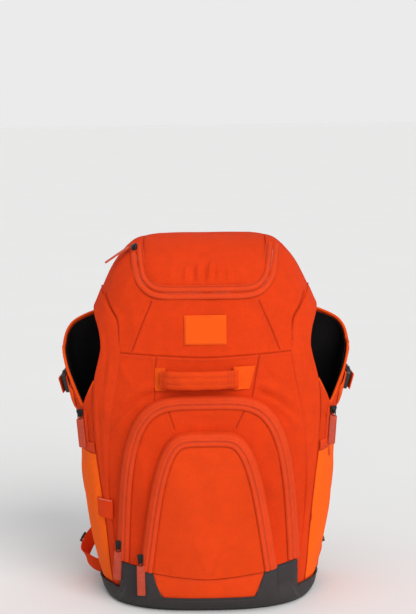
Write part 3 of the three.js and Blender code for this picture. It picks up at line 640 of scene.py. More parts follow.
@dataclass(frozen=True)
class BagForm:
    """The outline that every piece follows, in mm."""

    shift: float
    height: float = 505.0
    half: float = 184.0
    front: float = 92.0
    back: float = 97.0
    widest_y: float = 30.0
    crest_y: float = 45.0
    front_round: float = 2.4
    back_round: float = 6.0
    seam_half: float = 138.0
    edge_half: float = 158.0
    core_half: float = 108.0
    flare: float = 28.0
    mouth_top: float = 394.0
    flare_start: float = 243.0
    wall: float = 2.4
    front_share: float = 0.45

    def read(self, name: Col, z: Array | float) -> Array:
        """Returns a column of the outline at a height, in mm where it is a length."""
        share = column(OUTLINE, name.value, np.asarray(z, float) / self.height)
        size = {
            Col.FRONT: -self.front,
            Col.HALF: self.half,
            Col.SEAM: self.seam_half,
            Col.EDGE: self.edge_half,
            Col.CORE: self.core_half,
            Col.FULL: 1.0,
            Col.BACK: self.back,
        }[name]
        return np.clip(share, 0, 1) if name is Col.FULL else share * size

    def middle(self, z: Array | float) -> Array:
        """Returns the depth of the widest line at a height."""
        return lerp(self.widest_y, self.crest_y, smooth((np.asarray(z, float) / self.height - 0.9) * 10))

    def front_y(self, x: Array | float, z: Array | float) -> Array:
        """Returns the depth of the front skin at a place seen from the front."""
        mid, half = self.middle(z), self.read(Col.HALF, z)
        share = np.clip(np.abs(x) / half, 0, 1)
        p = self.front_round
        return mid + (self.read(Col.FRONT, z) - mid) * (1 - share**p) ** (1 / p)

    def side_x(self, y: Array | float, z: Array | float) -> Array:
        """Returns the half width of the skin at a depth and height."""
        mid, half = self.middle(z), self.read(Col.HALF, z)
        ahead = y < mid
        reach = np.where(ahead, self.read(Col.FRONT, z), self.read(Col.BACK, z)) - mid
        power = np.where(ahead, self.front_round, self.back_round)
        share = np.clip((y - mid) / reach, 0, 1)
        return half * (1 - share**power) ** (1 / power)

    def corner(self, z: Array | float) -> Array:
        """Returns the half width of the front panel at a height."""
        return lerp(self.read(Col.SEAM, z), self.read(Col.HALF, z) * 0.86, self.read(Col.FULL, z))

    def side_of_shell(self, depth: Array | float, z: Array | float) -> tuple[Array, Array]:
        """The compartment's side at a share of its depth.

        Args:
            depth: Share of the way from the front corner to the back.
            z: Height.

        Returns:
            The half width and the depth.
        """
        start, core = self.corner(z), self.read(Col.CORE, z)
        y = lerp(self.front_y(start, z), self.read(Col.BACK, z), depth)
        waist = column(WAIST, 1, depth)
        x = np.where(waist > 1, core * (2 - waist), lerp(start, core, np.minimum(waist, 1)))
        return lerp(x, self.side_x(y, z), self.read(Col.FULL, z)), y

    def rim(self, u: Array | float) -> Array:
        """Returns the height of a sleeve's rim."""
        return column(RIM, 1, u) * self.mouth_top

    def sleeve(self, side: int, u: Array | float, z: Array | float) -> Array:
        """Places on a sleeve's skin, u from the gusset round to the back."""
        u, z = np.broadcast_arrays(np.asarray(u, float), np.asarray(z, float))
        own, mid = self.read(Col.HALF, z), self.middle(z)
        edge = self.read(Col.EDGE, z) + 0.3
        ends = [self.side_of_shell(d, z)[0] for d in (0.22, 0.5, 0.7, 0.86, 0.96)]
        end = np.max(ends, axis=0) + self.wall + 0.3
        bulge = smooth(u / 0.35) * lerp(1.0, 0.6, smooth((u - 0.6) / 0.4))
        half = own + self.flare * bulge * smooth(
            (z - self.flare_start) / (self.mouth_top - 25 - self.flare_start)
        )
        f, b, s = self.front_round, self.back_round, self.front_share
        turn = np.arccos(np.clip(edge / own, 0, 1) ** (f / 2)) * (1 - u / s)
        ahead = u < s
        t = np.where(ahead, turn, np.arccos(np.clip(end / half, 0, 1) ** (b / 2)) * (u - s) / (1 - s))
        p = np.where(ahead, f, b)
        reach = np.where(ahead, self.read(Col.FRONT, z), self.read(Col.BACK, z)) - mid
        x = half * np.maximum(np.cos(t), 0) ** (2 / p)
        y = mid + reach * np.maximum(np.sin(t), 0) ** (2 / p)
        return np.stack([side * x, y, z + 0 * x], axis=-1)

    def on_front(self, spots: Sequence[Sequence[float]], step: float = 3.0) -> Array:
        """Returns a smooth line through (x, z) spots on the front skin."""
        line = rounded_line(spots, step)
        return np.column_stack([line[:, 0], self.front_y(line[:, 0], line[:, 1]), line[:, 1]])


FORM = BagForm(shift=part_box("main_shell")[1].y / MM - 97.0)


# Finishes


class Nodes:
    """A small helper that wires shader nodes."""

    def __init__(self, name: str) -> None:
        """Starts a material with a principled shader."""
        self.material = bpy.data.materials.new(name)
        self.material.use_nodes = True
        self.tree = self.material.node_tree
        self.tree.nodes.clear()
        self.out = self.tree.nodes.new("ShaderNodeOutputMaterial")
        self.shader = self.tree.nodes.new("ShaderNodeBsdfPrincipled")
        self.tree.links.new(self.shader.outputs[0], self.out.inputs[0])

    def add(self, kind: str, **values: object) -> bpy.types.Node:
        """Adds a node and sets its properties."""
        node = self.tree.nodes.new(kind)
        for key, value in values.items():
            setattr(node, key, value)
        return node

    def link(self, source: bpy.types.NodeSocket, target: bpy.types.NodeSocket) -> None:
        """Joins two sockets."""
        self.tree.links.new(source, target)

    def math(self, kind: str, a: object, b: object = 0.0, c: object = 0.0) -> bpy.types.NodeSocket:
        """Adds a math node and returns its output."""
        node = self.add("ShaderNodeMath", operation=kind)
        for socket, value in zip(node.inputs, (a, b, c)):
            if isinstance(value, bpy.types.NodeSocket):
                self.link(value, socket)
            else:
                socket.default_value = value
        return node.outputs[0]

    def noise(self, place: bpy.types.NodeSocket, scale: float, detail: float = 2.0) -> bpy.types.NodeSocket:
        """Adds a noise texture and returns its value."""
        node = self.add("ShaderNodeTexNoise")
        node.inputs["Scale"].default_value = scale
        node.inputs["Detail"].default_value = detail
        self.link(place, node.inputs["Vector"])
        return node.outputs["Fac"]

    def shades(
        self, factor: bpy.types.NodeSocket, stops: Sequence[tuple[float, tuple]]
    ) -> bpy.types.NodeSocket:
        """Adds a ramp of colours and returns its colour."""
        node = self.add("ShaderNodeValToRGB")
        ramp = node.color_ramp
        while len(ramp.elements) < len(stops):
            ramp.elements.new(0.5)
        for element, (place, colour) in zip(ramp.elements, stops):
            element.position = place
            element.color = (*colour, 1.0)
        self.link(factor, node.inputs["Fac"])
        return node.outputs["Color"]

    def bump(self, height: bpy.types.NodeSocket, distance: float, strength: float) -> None:
        """Turns a height into the shader's normal."""
        node = self.add("ShaderNodeBump")
        node.inputs["Distance"].default_value = distance
        node.inputs["Strength"].default_value = strength
        self.link(height, node.inputs["Height"])
        self.link(node.outputs["Normal"], self.shader.inputs["Normal"])


def tinted(colour: tuple[float, float, float], k: float) -> tuple[float, float, float]:
    """Returns a colour made k times as bright."""
    return tuple(min(1.0, c * k) for c in colour)


class Weave(Enum):
    """How a cloth is woven or made."""

    PLAIN = "plain"
    RIBBED = "ribbed"
    COATED = "coated"
    SPACER = "spacer"


@dataclass(frozen=True)
class ClothFinish:
    """A woven or coated cloth; pitch is the distance between threads, in mm."""

    name: str
    colour: tuple[float, float, float]
    weave: Weave = Weave.PLAIN
    pitch: float = 1.0
    relief: float = 0.12
    roughness: float = 0.8
    sheen: float = 0.1
    mottle: float = 0.08
    # crease_shade: strength of the shade painted into seams, grooves and creases.
    crease_shade: float = 0.45

    def make(self) -> bpy.types.Material:
        """Returns the cloth's material."""
        n = Nodes(self.name)
        place = n.add("ShaderNodeTexCoord").outputs["Object"]
        pattern = n.add("ShaderNodeUVMap", uv_map=PATTERN).outputs["UV"]
        axes = n.add("ShaderNodeSeparateXYZ")
        n.link(pattern, axes.inputs[0])
        rate = 2 * math.pi / (self.pitch * MM)
        across = n.math("SINE", n.math("MULTIPLY", axes.outputs["X"], rate))
        along = n.math("SINE", n.math("MULTIPLY", axes.outputs["Y"], rate))
        if self.weave is Weave.RIBBED:
            slant = n.math(
                "SINE", n.math("MULTIPLY", n.math("ADD", axes.outputs["X"], axes.outputs["Y"]), rate * 0.5)
            )
            threads = n.math("ADD", n.math("MULTIPLY", along, 0.7), n.math("MULTIPLY", slant, 0.3))
        elif self.weave is Weave.SPACER:
            threads = n.math(
                "SUBTRACT", 0.0, n.math("POWER", n.math("ABSOLUTE", n.math("MULTIPLY", across, along)), 0.7)
            )
        else:
            threads = n.math("MULTIPLY", across, along)
        grain = n.noise(place, 1400.0 if self.weave is Weave.COATED else 620.0, 3.0)
        clouds = n.noise(place, 9.0, 3.0)
        patches = n.noise(place, 70.0, 4.0)
        tone = n.math(
            "MULTIPLY_ADD", grain, 0.45, n.math("MULTIPLY_ADD", clouds, 0.3, n.math("MULTIPLY", patches, 0.25))
        )
        tone = n.math("MULTIPLY_ADD", threads, 0.05, tone)
        low, high = tinted(self.colour, 1 - self.mottle * 2.2), tinted(self.colour, 1 + self.mottle * 2.2)
        shade = n.shades(tone, ((0.3, low), (0.5, self.colour), (0.72, high)))
        # Painted shade: the crease attribute darkens the colour in seams, grooves and tucks, standing in for
        # the shade that falls there.
        crease = n.add("ShaderNodeAttribute", attribute_name=CREASE_SHADE).outputs["Fac"]
        mix = n.add("ShaderNodeMix", data_type="RGBA", blend_type="MULTIPLY")
        n.link(n.math("MULTIPLY", crease, self.crease_shade), mix.inputs["Factor"])
        n.link(shade, mix.inputs["A"])
        mix.inputs["B"].default_value = (0.25, 0.2, 0.2, 1.0)
        n.link(mix.outputs["Result"], n.shader.inputs["Base Color"])
        gloss = n.math("MULTIPLY_ADD", patches, 0.16, self.roughness - 0.08)
        n.link(gloss, n.shader.inputs["Roughness"])
        n.shader.inputs["Sheen Weight"].default_value = self.sheen
        n.shader.inputs["Sheen Roughness"].default_value = 0.45
        n.shader.inputs["Sheen Tint"].default_value = (*tinted(self.colour, 1.3), 1.0)
        n.shader.inputs["Specular IOR Level"].default_value = 0.25 if self.weave is Weave.COATED else 0.08
        height = n.math("MULTIPLY_ADD", grain, 0.5, threads)
        n.bump(height, self.relief * MM, 0.7)
        return n.material


@dataclass(frozen=True)
class MouldedFinish:
    """Moulded plastic, rubber or thread."""

    name: str
    colour: tuple[float, float, float]
    roughness: float = 0.4
    grain: float = 2200.0
    relief: float = 0.04
    metallic: float = 0.0

    def make(self) -> bpy.types.Material:
        """Returns the moulded material."""
        n = Nodes(self.name)
        place = n.add("ShaderNodeTexCoord").outputs["Object"]
        grain = n.noise(place, self.grain, 3.0)
        wear = n.noise(place, 160.0, 4.0)
        stops = ((0.3, tinted(self.colour, 0.8)), (0.62, self.colour), (0.8, tinted(self.colour, 1.5)))
        n.link(n.shades(wear, stops), n.shader.inputs["Base Color"])
        n.link(n.math("MULTIPLY_ADD", wear, 0.25, self.roughness - 0.12), n.shader.inputs["Roughness"])
        n.shader.inputs["Metallic"].default_value = self.metallic
        n.bump(grain, self.relief * MM, 0.5)
        return n.material


ORANGE = (0.63, 0.040, 0.0045)
BRIGHT = (0.72, 0.070, 0.005)
MID = (0.655, 0.048, 0.0055)


@dataclass
class Wardrobe:
    """Every finish of the bag, made once."""

    def __post_init__(self) -> None:
        """Makes the materials."""
        cloth, moulded = ClothFinish, MouldedFinish
        self.shell = cloth("packcloth_orange", ORANGE, pitch=0.9).make()
        self.pocket = cloth("packcloth_pocket", MID, pitch=0.9, mottle=0.06).make()
        self.gusset = cloth("packcloth_gusset", (0.64, 0.042, 0.005), pitch=0.9).make()
        self.bright = cloth("packcloth_bright", BRIGHT, pitch=0.9, mottle=0.05).make()
        self.pouch = cloth("packcloth_pouch", (0.88, 0.112, 0.006), pitch=0.9, mottle=0.05).make()
        self.tape = cloth("zip_tape_orange", (0.61, 0.048, 0.009), Weave.RIBBED, 1.1, roughness=0.7).make()
        self.webbing = cloth("webbing_orange", (0.76, 0.078, 0.005), Weave.RIBBED, 1.6, 0.25, 0.75).make()
        self.strap_web = cloth(
            "webbing_deep_orange", (0.68, 0.045, 0.005), Weave.RIBBED, 1.6, 0.25, 0.75
        ).make()
        self.base = cloth(
            "coated_charcoal", (0.030, 0.025, 0.026), Weave.COATED, 0.8, 0.05, 0.62, 0.08, 0.1
        ).make()
        self.lining = cloth(
            "lining_black", (0.006, 0.0055, 0.006), Weave.PLAIN, 0.9, 0.08, 0.7, 0.1, 0.1
        ).make()
        self.spacer = cloth(
            "spacer_mesh_charcoal", (0.026, 0.023, 0.024), Weave.SPACER, 3.2, 0.7, 0.9, 0.2, 0.1
        ).make()
        self.edging = cloth(
            "edge_binding_charcoal", (0.02, 0.018, 0.019), Weave.RIBBED, 1.3, 0.15, 0.8, 0.1, 0.1
        ).make()
        self.patch = cloth(
            "woven_patch", (0.78, 0.088, 0.005), Weave.PLAIN, 0.6, 0.06, 0.7, 0.15, 0.04
        ).make()
        self.thread = moulded("thread_orange", (0.62, 0.045, 0.010), 0.6, 3000.0).make()
        self.dark_thread = moulded("thread_deep", (0.36, 0.022, 0.007), 0.6, 3000.0).make()
        self.coil = moulded("zip_coil", (0.56, 0.075, 0.03), 0.35, 3000.0).make()
        self.pull = moulded("pull_rubber", (0.46, 0.046, 0.014), 0.55, 900.0, 0.08).make()
        self.black = moulded("moulded_black", (0.012, 0.0115, 0.0125), 0.38).make()
        self.metal = moulded("black_metal", (0.02, 0.019, 0.019), 0.3, 3500.0, 0.02, 0.7).make()


# Rows of small things, made with geometry nodes


class RowKind(Enum):
    """What a row along a path is made of."""

    BEADS = "beads"
    RODS = "rods"


@dataclass
class Row:
    """Beads at a pitch along lines, such as stitches and coil teeth, or rods along them."""

    name: str
    kind: RowKind
    pitch: float
    length: float
    width: float
    finish: bpy.types.Material

    def tree(self) -> bpy.types.NodeTree:
        """Returns the node tree that makes the row."""
        tree = bpy.data.node_groups.new(self.name + "_rows", "GeometryNodeTree")
        face = tree.interface
        face.new_socket("Geometry", in_out="INPUT", socket_type="NodeSocketGeometry")
        for title in ("Pitch", "Length", "Width"):
            face.new_socket(title, in_out="INPUT", socket_type="NodeSocketFloat")
        face.new_socket("Finish", in_out="INPUT", socket_type="NodeSocketMaterial")
        face.new_socket("Geometry", in_out="OUTPUT", socket_type="NodeSocketGeometry")
        new, link = tree.nodes.new, tree.links.new
        start, end = new("NodeGroupInput"), new("NodeGroupOutput")
        curve = new("GeometryNodeMeshToCurve")
        link(start.outputs["Geometry"], curve.inputs[0])
        if self.kind is RowKind.BEADS:
            points = new("GeometryNodeCurveToPoints")
            points.mode = "LENGTH"
            link(curve.outputs[0], points.inputs["Curve"])
            link(start.outputs["Pitch"], points.inputs["Length"])
            ball = new("GeometryNodeMeshUVSphere")
            ball.inputs["Segments"].default_value = 6
            ball.inputs["Rings"].default_value = 4
            ball.inputs["Radius"].default_value = 0.5
            turn = new("FunctionNodeAlignRotationToVector")
            turn.axis = "X"
            link(points.outputs["Tangent"], turn.inputs["Vector"])
            size = new("ShaderNodeCombineXYZ")
            link(start.outputs["Length"], size.inputs["X"])
            link(start.outputs["Width"], size.inputs["Y"])
            link(start.outputs["Width"], size.inputs["Z"])
            beads = new("GeometryNodeInstanceOnPoints")
            link(points.outputs["Points"], beads.inputs["Points"])
            link(ball.outputs["Mesh"], beads.inputs["Instance"])
            link(turn.outputs["Rotation"], beads.inputs["Rotation"])
            link(size.outputs[0], beads.inputs["Scale"])
            made = beads.outputs["Instances"]
        else:
            ring = new("GeometryNodeCurvePrimitiveCircle")
            ring.inputs["Resolution"].default_value = 6
            half = new("ShaderNodeMath")
            half.operation = "MULTIPLY"
            half.inputs[1].default_value = 0.5
            link(start.outputs["Width"], half.inputs[0])
            link(half.outputs[0], ring.inputs["Radius"])
            rods = new("GeometryNodeCurveToMesh")
            rods.inputs["Fill Caps"].default_value = True
            link(curve.outputs[0], rods.inputs["Curve"])
            link(ring.outputs["Curve"], rods.inputs["Profile Curve"])
            made = rods.outputs["Mesh"]
        real = new("GeometryNodeRealizeInstances")
        link(made, real.inputs[0])
        paint = new("GeometryNodeSetMaterial")
        link(real.outputs[0], paint.inputs["Geometry"])
        link(start.outputs["Finish"], paint.inputs["Material"])
        link(paint.outputs[0], end.inputs[0])
        return tree

    def make(self, lines: Sequence[Array]) -> bpy.types.Object:
        """Makes the row along lines.

        Args:
            lines: Lines of places, in mm.

        Returns:
            The piece, as a plain mesh.
        """
        places, edges = [], []
        for line in lines:
            start = len(places)
            places += to_metres(line).tolist()
            edges += [(start + i, start + i + 1) for i in range(len(line) - 1)]
        mesh = bpy.data.meshes.new(self.name + "_lines")
        mesh.from_pydata(places, edges, [])
        guide = bpy.data.objects.new(self.name + "_lines", mesh)
        bpy.context.scene.collection.objects.link(guide)
        modifier = guide.modifiers.new("rows", "NODES")
        modifier.node_group = self.tree()
        values = {
            "Pitch": self.pitch * MM,
            "Length": self.length * MM,
            "Width": self.width * MM,
            "Finish": self.finish,
        }
        for socket in modifier.node_group.interface.items_tree:
            if socket.in_out == "INPUT" and socket.name in values:
                modifier[socket.identifier] = values[socket.name]
        depsgraph = bpy.context.evaluated_depsgraph_get()
        made = bpy.data.meshes.new_from_object(guide.evaluated_get(depsgraph))
        bpy.data.objects.remove(guide)
        made.shade_smooth()
        piece = bpy.data.objects.new(self.name, made)
        bpy.context.scene.collection.objects.link(piece)
        return piece


def snapped(lines: Sequence[Array], carrier: bpy.types.Object, lift: float) -> list[Array]:
    """Lays lines on a piece.

    Args:
        lines: Lines of places, in mm.
        carrier: The piece that they lie on.
        lift: Height above it, in mm.

    Returns:
        The lines on the piece.
    """
    tree = BVHTree.FromObject(carrier, bpy.context.evaluated_depsgraph_get())
    laid = []
    for line in lines:
        out = []
        for p in to_metres(along_line(line, 2.5)):
            spot, normal, _, _ = tree.find_nearest(Vector(p))
            away = Vector(p) - spot
            if away.length > 1e-5 and away.dot(normal) < 0 and away.length < 2 * MM:
                normal = -away.normalized() if normal.dot(away) > 0 else normal
            out.append(spot + normal * lift * MM)
        laid.append(np.array(out) / MM - np.array([0.0, FORM.shift, 0.0]))
    return laid


def ride(piece: bpy.types.Object, slot: str, *nodes: str) -> bpy.types.Object:
    """Ties a piece to the bag's root body, and hides the nodes that it stands for."""
    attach(piece, "root")
    if nodes:
        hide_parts(*nodes)
    LOG.info("%s: %d faces", piece.name, len(piece.data.polygons))
    return piece


# Seats of small hard parts, read from the frame


@dataclass(frozen=True)
class Seat:
    """Where a small part sits: its middle, its long way down, its width and its outward way."""

    middle: Array
    down: Array
    wide: Array
    out: Array
    size: Array

    @classmethod
    def of(cls, node: str) -> "Seat":
        """Returns the seat of a CAD node, from its own shape."""
        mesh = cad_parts[node].data
        spots = np.array([v.co for v in mesh.vertices]) / MM - np.array([0.0, FORM.shift, 0.0])
        middle = (spots.min(axis=0) + spots.max(axis=0)) / 2
        _, axes = np.linalg.eigh(np.cov((spots - spots.mean(axis=0)).T))
        down, wide, out = axes[:, 2], axes[:, 1], axes[:, 0]
        if down[2] > 0:
            down = -down
        if out @ (middle - np.array([0.0, FORM.widest_y, middle[2]])) < 0:
            out = -out
        wide = np.cross(down, out)
        size = np.array([np.ptp(spots @ w) for w in (wide, down, out)])
        middle = sum(w * (spots @ w).min() / 2 + w * (spots @ w).max() / 2 for w in (wide, down, out))
        return cls(middle, down, wide, out, size)

    def turned(self, share: float, lift: float) -> "Seat":
        """Returns the seat turned a share of the way to face the front, and lifted."""
        way = lerp(self.out, np.array([0.0, -1.0, 0.0]), share)
        way = unit(way - self.down * (way @ self.down))
        wide = np.cross(self.down, way)
        return replace(self, out=way, wide=wide, middle=self.middle + self.out * lift)

    def place(self, local: Array) -> Array:
        """Returns local places (wide, down, out) in the bag's frame."""
        local = np.asarray(local, float)
        return self.middle + local[:, :1] * self.wide + local[:, 1:2] * self.down + local[:, 2:] * self.out

    def bar(
        self, name: str, path: Sequence[
            Sequence[float]
        ], ring: Array, wide: Sequence[float], finish: bpy.types.Material
    ) -> bpy.types.Object:
        """A bar of one section along a local path.

        Args:
            name: The piece's name.
            path: Local places (wide, down, out).
            ring: The section's outline.
            wide: Local direction of the section's width.
            finish: The material.

        Returns:
            The piece.
        """
        way = self.place([wide])[0] - self.middle
        return sweep(self.place(path), lambda _: ring, way).solid(name, 0, finish)

    def plate(
        self, name: str, outline: Array, low: float, high: float, soft: float, finish: bpy.types.Material
    ) -> bpy.types.Object:
        """A plate with softened edges.

        Args:
            name: The piece's name.
            outline: Local (wide, down) outline, counter-clockwise or clockwise.
            low: Where the plate starts, outwards.
            high: Where it ends.
            soft: Radius of its edges.
            finish: The material.

        Returns:
            The piece.
        """
        outline = np.asarray(outline, float)
        centre = outline.mean(axis=0)
        turns = np.linspace(0, math.pi / 2, 5)
        levels = [(low + soft - soft * math.sin(t), soft - soft * math.cos(t)) for t in turns[::-1]]
        levels += [(high - soft + soft * math.sin(t), soft - soft * math.cos(t)) for t in turns]
        rings = []
        for level, inset in levels:
            reach = np.linalg.norm(outline - centre, axis=1, keepdims=True)
            ring = centre + (outline - centre) * (1 - inset / reach)
            ring = np.concatenate([ring, ring[:1]])
            rings.append(np.column_stack([ring, np.full(len(ring), level)]))
        first = np.tile([*centre, levels[0][0]], (len(rings[0]), 1))
        last = np.tile([*centre, levels[-1][0]], (len(rings[0]), 1))
        rows = np.array([self.place(ring) for ring in (first, *rings, last)])
        cloth = Cloth.rows(rows)
        return cloth.facing(self.middle + self.out * (low + high) / 2).solid(name, 0, finish)


def box_outline(width: float, tall: float, corner: float, middle: tuple[float, float] = (0.0, 0.0)) -> Array:
    """Returns the outline of a rectangle with round corners."""
    spots = []
    for k, (sx, sy) in enumerate(((1, 1), (-1, 1), (-1, -1), (1, -1))):
        for t in np.linspace(0, math.pi / 2, 5):
            a = k * math.pi / 2 + t
            spots.append(
                (
                    middle[0] + sx * (width / 2 - corner) + corner * math.cos(a),
                    middle[1] + sy * (tall / 2 - corner) + corner * math.sin(a),
                )
            )
    return np.array(spots)


def zip_slider(
    name: str, node: str, wear: Wardrobe, face: float = 0.0, lift: float = 0.0
) -> bpy.types.Object:
    """A moulded slider with its bridge, in the seat of a CAD node.

    Args:
        name: The piece's name.
        node: The CAD node.
        wear: The finishes.
        face: Share of the way that it is turned to the front.
        lift: Height off its seat, in mm.

    Returns:
        The piece.
    """
    seat = Seat.of(node).turned(face, lift)
    w, tall, deep = seat.size
    body = box_outline(w, tall * 0.82, 2.4, (0, -tall * 0.08))
    body[:, 0] *= np.where(body[:, 1] > 0, 0.72, 1.0)
    lower = seat.plate(name + "_lower", body, -deep / 2, -deep / 2 + 1.5, 0.5, wear.metal)
    upper = seat.plate(name + "_upper", body, -deep / 2 + 2.0, -deep / 2 + 3.4, 0.55, wear.metal)
    post = seat.plate(name + "_post", box_outline(2.2, 3.4, 0.8, (0, -tall * 0.3)), -deep / 2 + 1, -deep / 2 + 2.4, 0.3, wear.metal)
    arch = [
        (0, -tall * 0.36, 0.9), (0, -tall * 0.25, 1.9), (0, 0, 2.2), (0, tall * 0.2, 2.0), (0, tall * 0.3, 0.9)
    ]
    bridge = seat.bar(name + "_bridge", rounded_line(arch, 1.0), oval(2.6, 1.0, 3, 10), (1, 0, 0), wear.metal)
    loop = [(-2.6, tall * 0.1, 1.5), (-3.0, tall * 0.34, 1.6), (-2.4, tall * 0.5, 1.4), (0, tall * 0.56, 1.3)]
    loop += [(-x, y, z) for x, y, z in loop[-2::-1]]
    bail = seat.bar(name + "_bail", rounded_line(loop, 0.9), oval(1.2, 1.2, 2, 8), (0, 0, 1), wear.metal)
    return joined(name, [lower, upper, post, bridge, bail])


def pull_tab(name: str, node: str, wear: Wardrobe, face: float = 0.0, lift: float = 0.6) -> bpy.types.Object:
    """A ribbed rubber pull in the seat of a CAD node.

    Args:
        name: The piece's name.
        node: The CAD node.
        wear: The finishes.
        face: Share of the way that it is turned to the front.
        lift: Height off its seat, in mm.

    Returns:
        The piece.
    """
    seat = Seat.of(node).turned(face, lift)
    w, tall, deep = seat.size
    body = seat.plate(name + "_body", box_outline(w, tall, 1.6), -deep / 2, deep / 2 - 0.35, 0.7, wear.pull)
    frame_path = box_outline(w - 2.0, tall - 2.4, 1.6)
    frame_path = np.concatenate([frame_path, frame_path[:2]])
    path = np.column_stack([frame_path, np.full(len(frame_path), deep / 2 - 0.45)])
    border = seat.bar(name + "_border", path, oval(0.9, 0.9, 2, 8), (0, 0, 1), wear.pull)
    lines = []
    for y in np.arange(-tall / 2 + 5.0, tall / 2 - 3.0, 1.75):
        lines.append(seat.place([(-w / 2 + 1.9, y, deep / 2 - 0.5), (w / 2 - 1.9, y, deep / 2 - 0.5)]))
    ribs = Row(name + "_ribs", RowKind.RODS, 1.75, 1.0, 0.85, wear.pull).make(lines)
    return joined(name, [body, border, ribs])


# The main compartment


@dataclass
class Compartment:
    """The domed main compartment and the seams of its front."""

    wear: Wardrobe
    rows: int = 190
    front_columns: int = 62
    side_columns: int = 26
    back_columns: int = 10
    foot: float = 3.0

    TRAPEZOID = ((73.3, 421.0), (87.0, 388.5), (101.0, 353.0))
    YOKE = ((-117.0, 350.5), (-60.0, 347.8), (0.0, 345.3), (60.0, 347.8), (117.0, 350.5))
    HANDLE_SEAMS = (
        ((-67.6, 346.0), (-69.2, 331.0)), ((-69.8, 303.0), (-71.3, 287.0)), ((72.4, 346.0), (62.2, 291.0))
    )
    SHOULDER = ((119.5, 366.0), (121.0, 394.0), (130.0, 409.0), (138.5, 427.0))

    def section(self, u: Array, z: Array) -> Array:
        """Places round the compartment, u from -1 at the back through 0 at the front to 1."""
        h = np.abs(u)
        side = np.sign(u + 1e-12)
        corner = FORM.corner(z)
        front_x = corner * np.clip(h / 0.5, 0, 1)
        front_y = FORM.front_y(front_x, z)
        depth = np.clip((h - 0.5) / 0.35, 0, 1) * 0.96
        side_x, side_y = FORM.side_of_shell(depth, z)
        last = np.clip((h - 0.85) / 0.15, 0, 1)
        back = FORM.read(Col.BACK, z)
        end_x, end_y = FORM.side_of_shell(np.full_like(z, 0.96), z)
        x = np.where(h <= 0.5, front_x, np.where(h <= 0.85, side_x, end_x * (1 - last)))
        y = np.where(h <= 0.5, front_y, np.where(h <= 0.85, side_y, lerp(end_y, back, smooth(last * 3))))
        return np.stack([side * x, y, z], axis=-1)

    def heights(self) -> Array:
        """Returns heights that are evenly spaced along the front's profile."""
        fine = np.linspace(self.foot, 0.997 * FORM.height, 1500)
        y = FORM.front_y(0.0, fine)
        run = np.concatenate([[0], np.cumsum(np.hypot(np.diff(fine), np.diff(y)))])
        return np.interp(np.linspace(0, run[-1], self.rows), run, fine)

    def skin(self) -> Cloth:
        """Returns the compartment's closed outer skin."""
        half = np.concatenate(
            [
                np.linspace(0, 0.5, self.front_columns, endpoint=False),
                np.linspace(0.5, 0.85, self.side_columns, endpoint=False),
                np.linspace(0.85, 1, self.back_columns + 1),
            ]
        )
        us = np.concatenate([-half[:0:-1], half])
        zs = self.heights()
        u, v = np.meshgrid(us, zs)
        body = self.section(u, v)
        crown = []
        for k in (0.25, 0.5, 0.75, 1.0):
            ring = body[-1] + (np.array([0, FORM.crest_y, 0]) - body[-1] * [1, 1, 0]) * [k, k, 0]
            ring[:, 2] = lerp(body[-1][:, 2], FORM.height, 1 - (1 - k) ** 2)
            crown.append(ring)
        floor = []
        for k in (1.0, 0.6, 0.3):
            ring = body[0] + (np.array([0, FORM.crest_y, 0]) - body[0] * [1, 1, 0]) * [k, k, 0]
            floor.append(ring)
        rows = np.concatenate([np.array(floor), body, np.array(crown)])
        return Cloth.rows(rows).facing((0, FORM.crest_y, 250))

    def seams(self) -> list[Seam]:
        """Returns the sewn lines of the front."""
        lines = [FORM.on_front([(s * x, z) for x, z in self.TRAPEZOID]) for s in (-1, 1)]
        lines += [FORM.on_front(self.YOKE)]
        lines += [FORM.on_front(spots) for spots in self.HANDLE_SEAMS]
        found = [Seam(line, depth=0.8, width=0.9, swell=0.45) for line in lines]
        found += [
            Seam(FORM.on_front([(s * x, z) for x, z in self.SHOULDER]), 1.3, 1.5, 0.6, 6.0) for s in (-1, 1)
        ]
        return found

    def folds(self) -> list[Fold]:
        """Returns the soft folds of the front, above the pockets and at the shoulders."""
        table = (
            # x and z of the ends and the middle, height, width
            ((64, 300), (86, 290), (124, 262), -1.7, 3.4),
            ((66, 309), (92, 300), (126, 276), 1.6, 5.0),
            ((84, 288), (108, 268), (130, 238), 1.5, 4.6),
            ((98, 305), (112, 322), (116, 338), 0.9, 5.0),
            ((60, 420), (40, 428), (10, 431), 0.7, 7.0),
            ((104, 420), (96, 400), (98, 372), 0.8, 8.0),
            ((112, 440), (100, 452), (92, 470), 1.0, 8.0),
            ((80, 330), (88, 318), (104, 306), -0.8, 4.0),
        )
        found = []
        for *spots, height, width in table:
            for s in (-1, 1):
                found.append(Fold(FORM.on_front([(s * x, z) for x, z in spots], 5.0), 1.4 * height, width))
        return found

    def build(self) -> None:
        """Makes the compartment, open under the lid, and its stitches."""
        skin = self.skin()
        seams = self.seams()
        lines = [seam.line for seam in seams]

        def near(spots: Array) -> Array:
            """Returns which places are near a seam."""
            close = np.zeros(len(spots), bool)
            ahead = spots[:, 1] < 30
            for line in lines:
                close[ahead] |= nearest(spots[ahead], line)[0] < 4.5
            return close

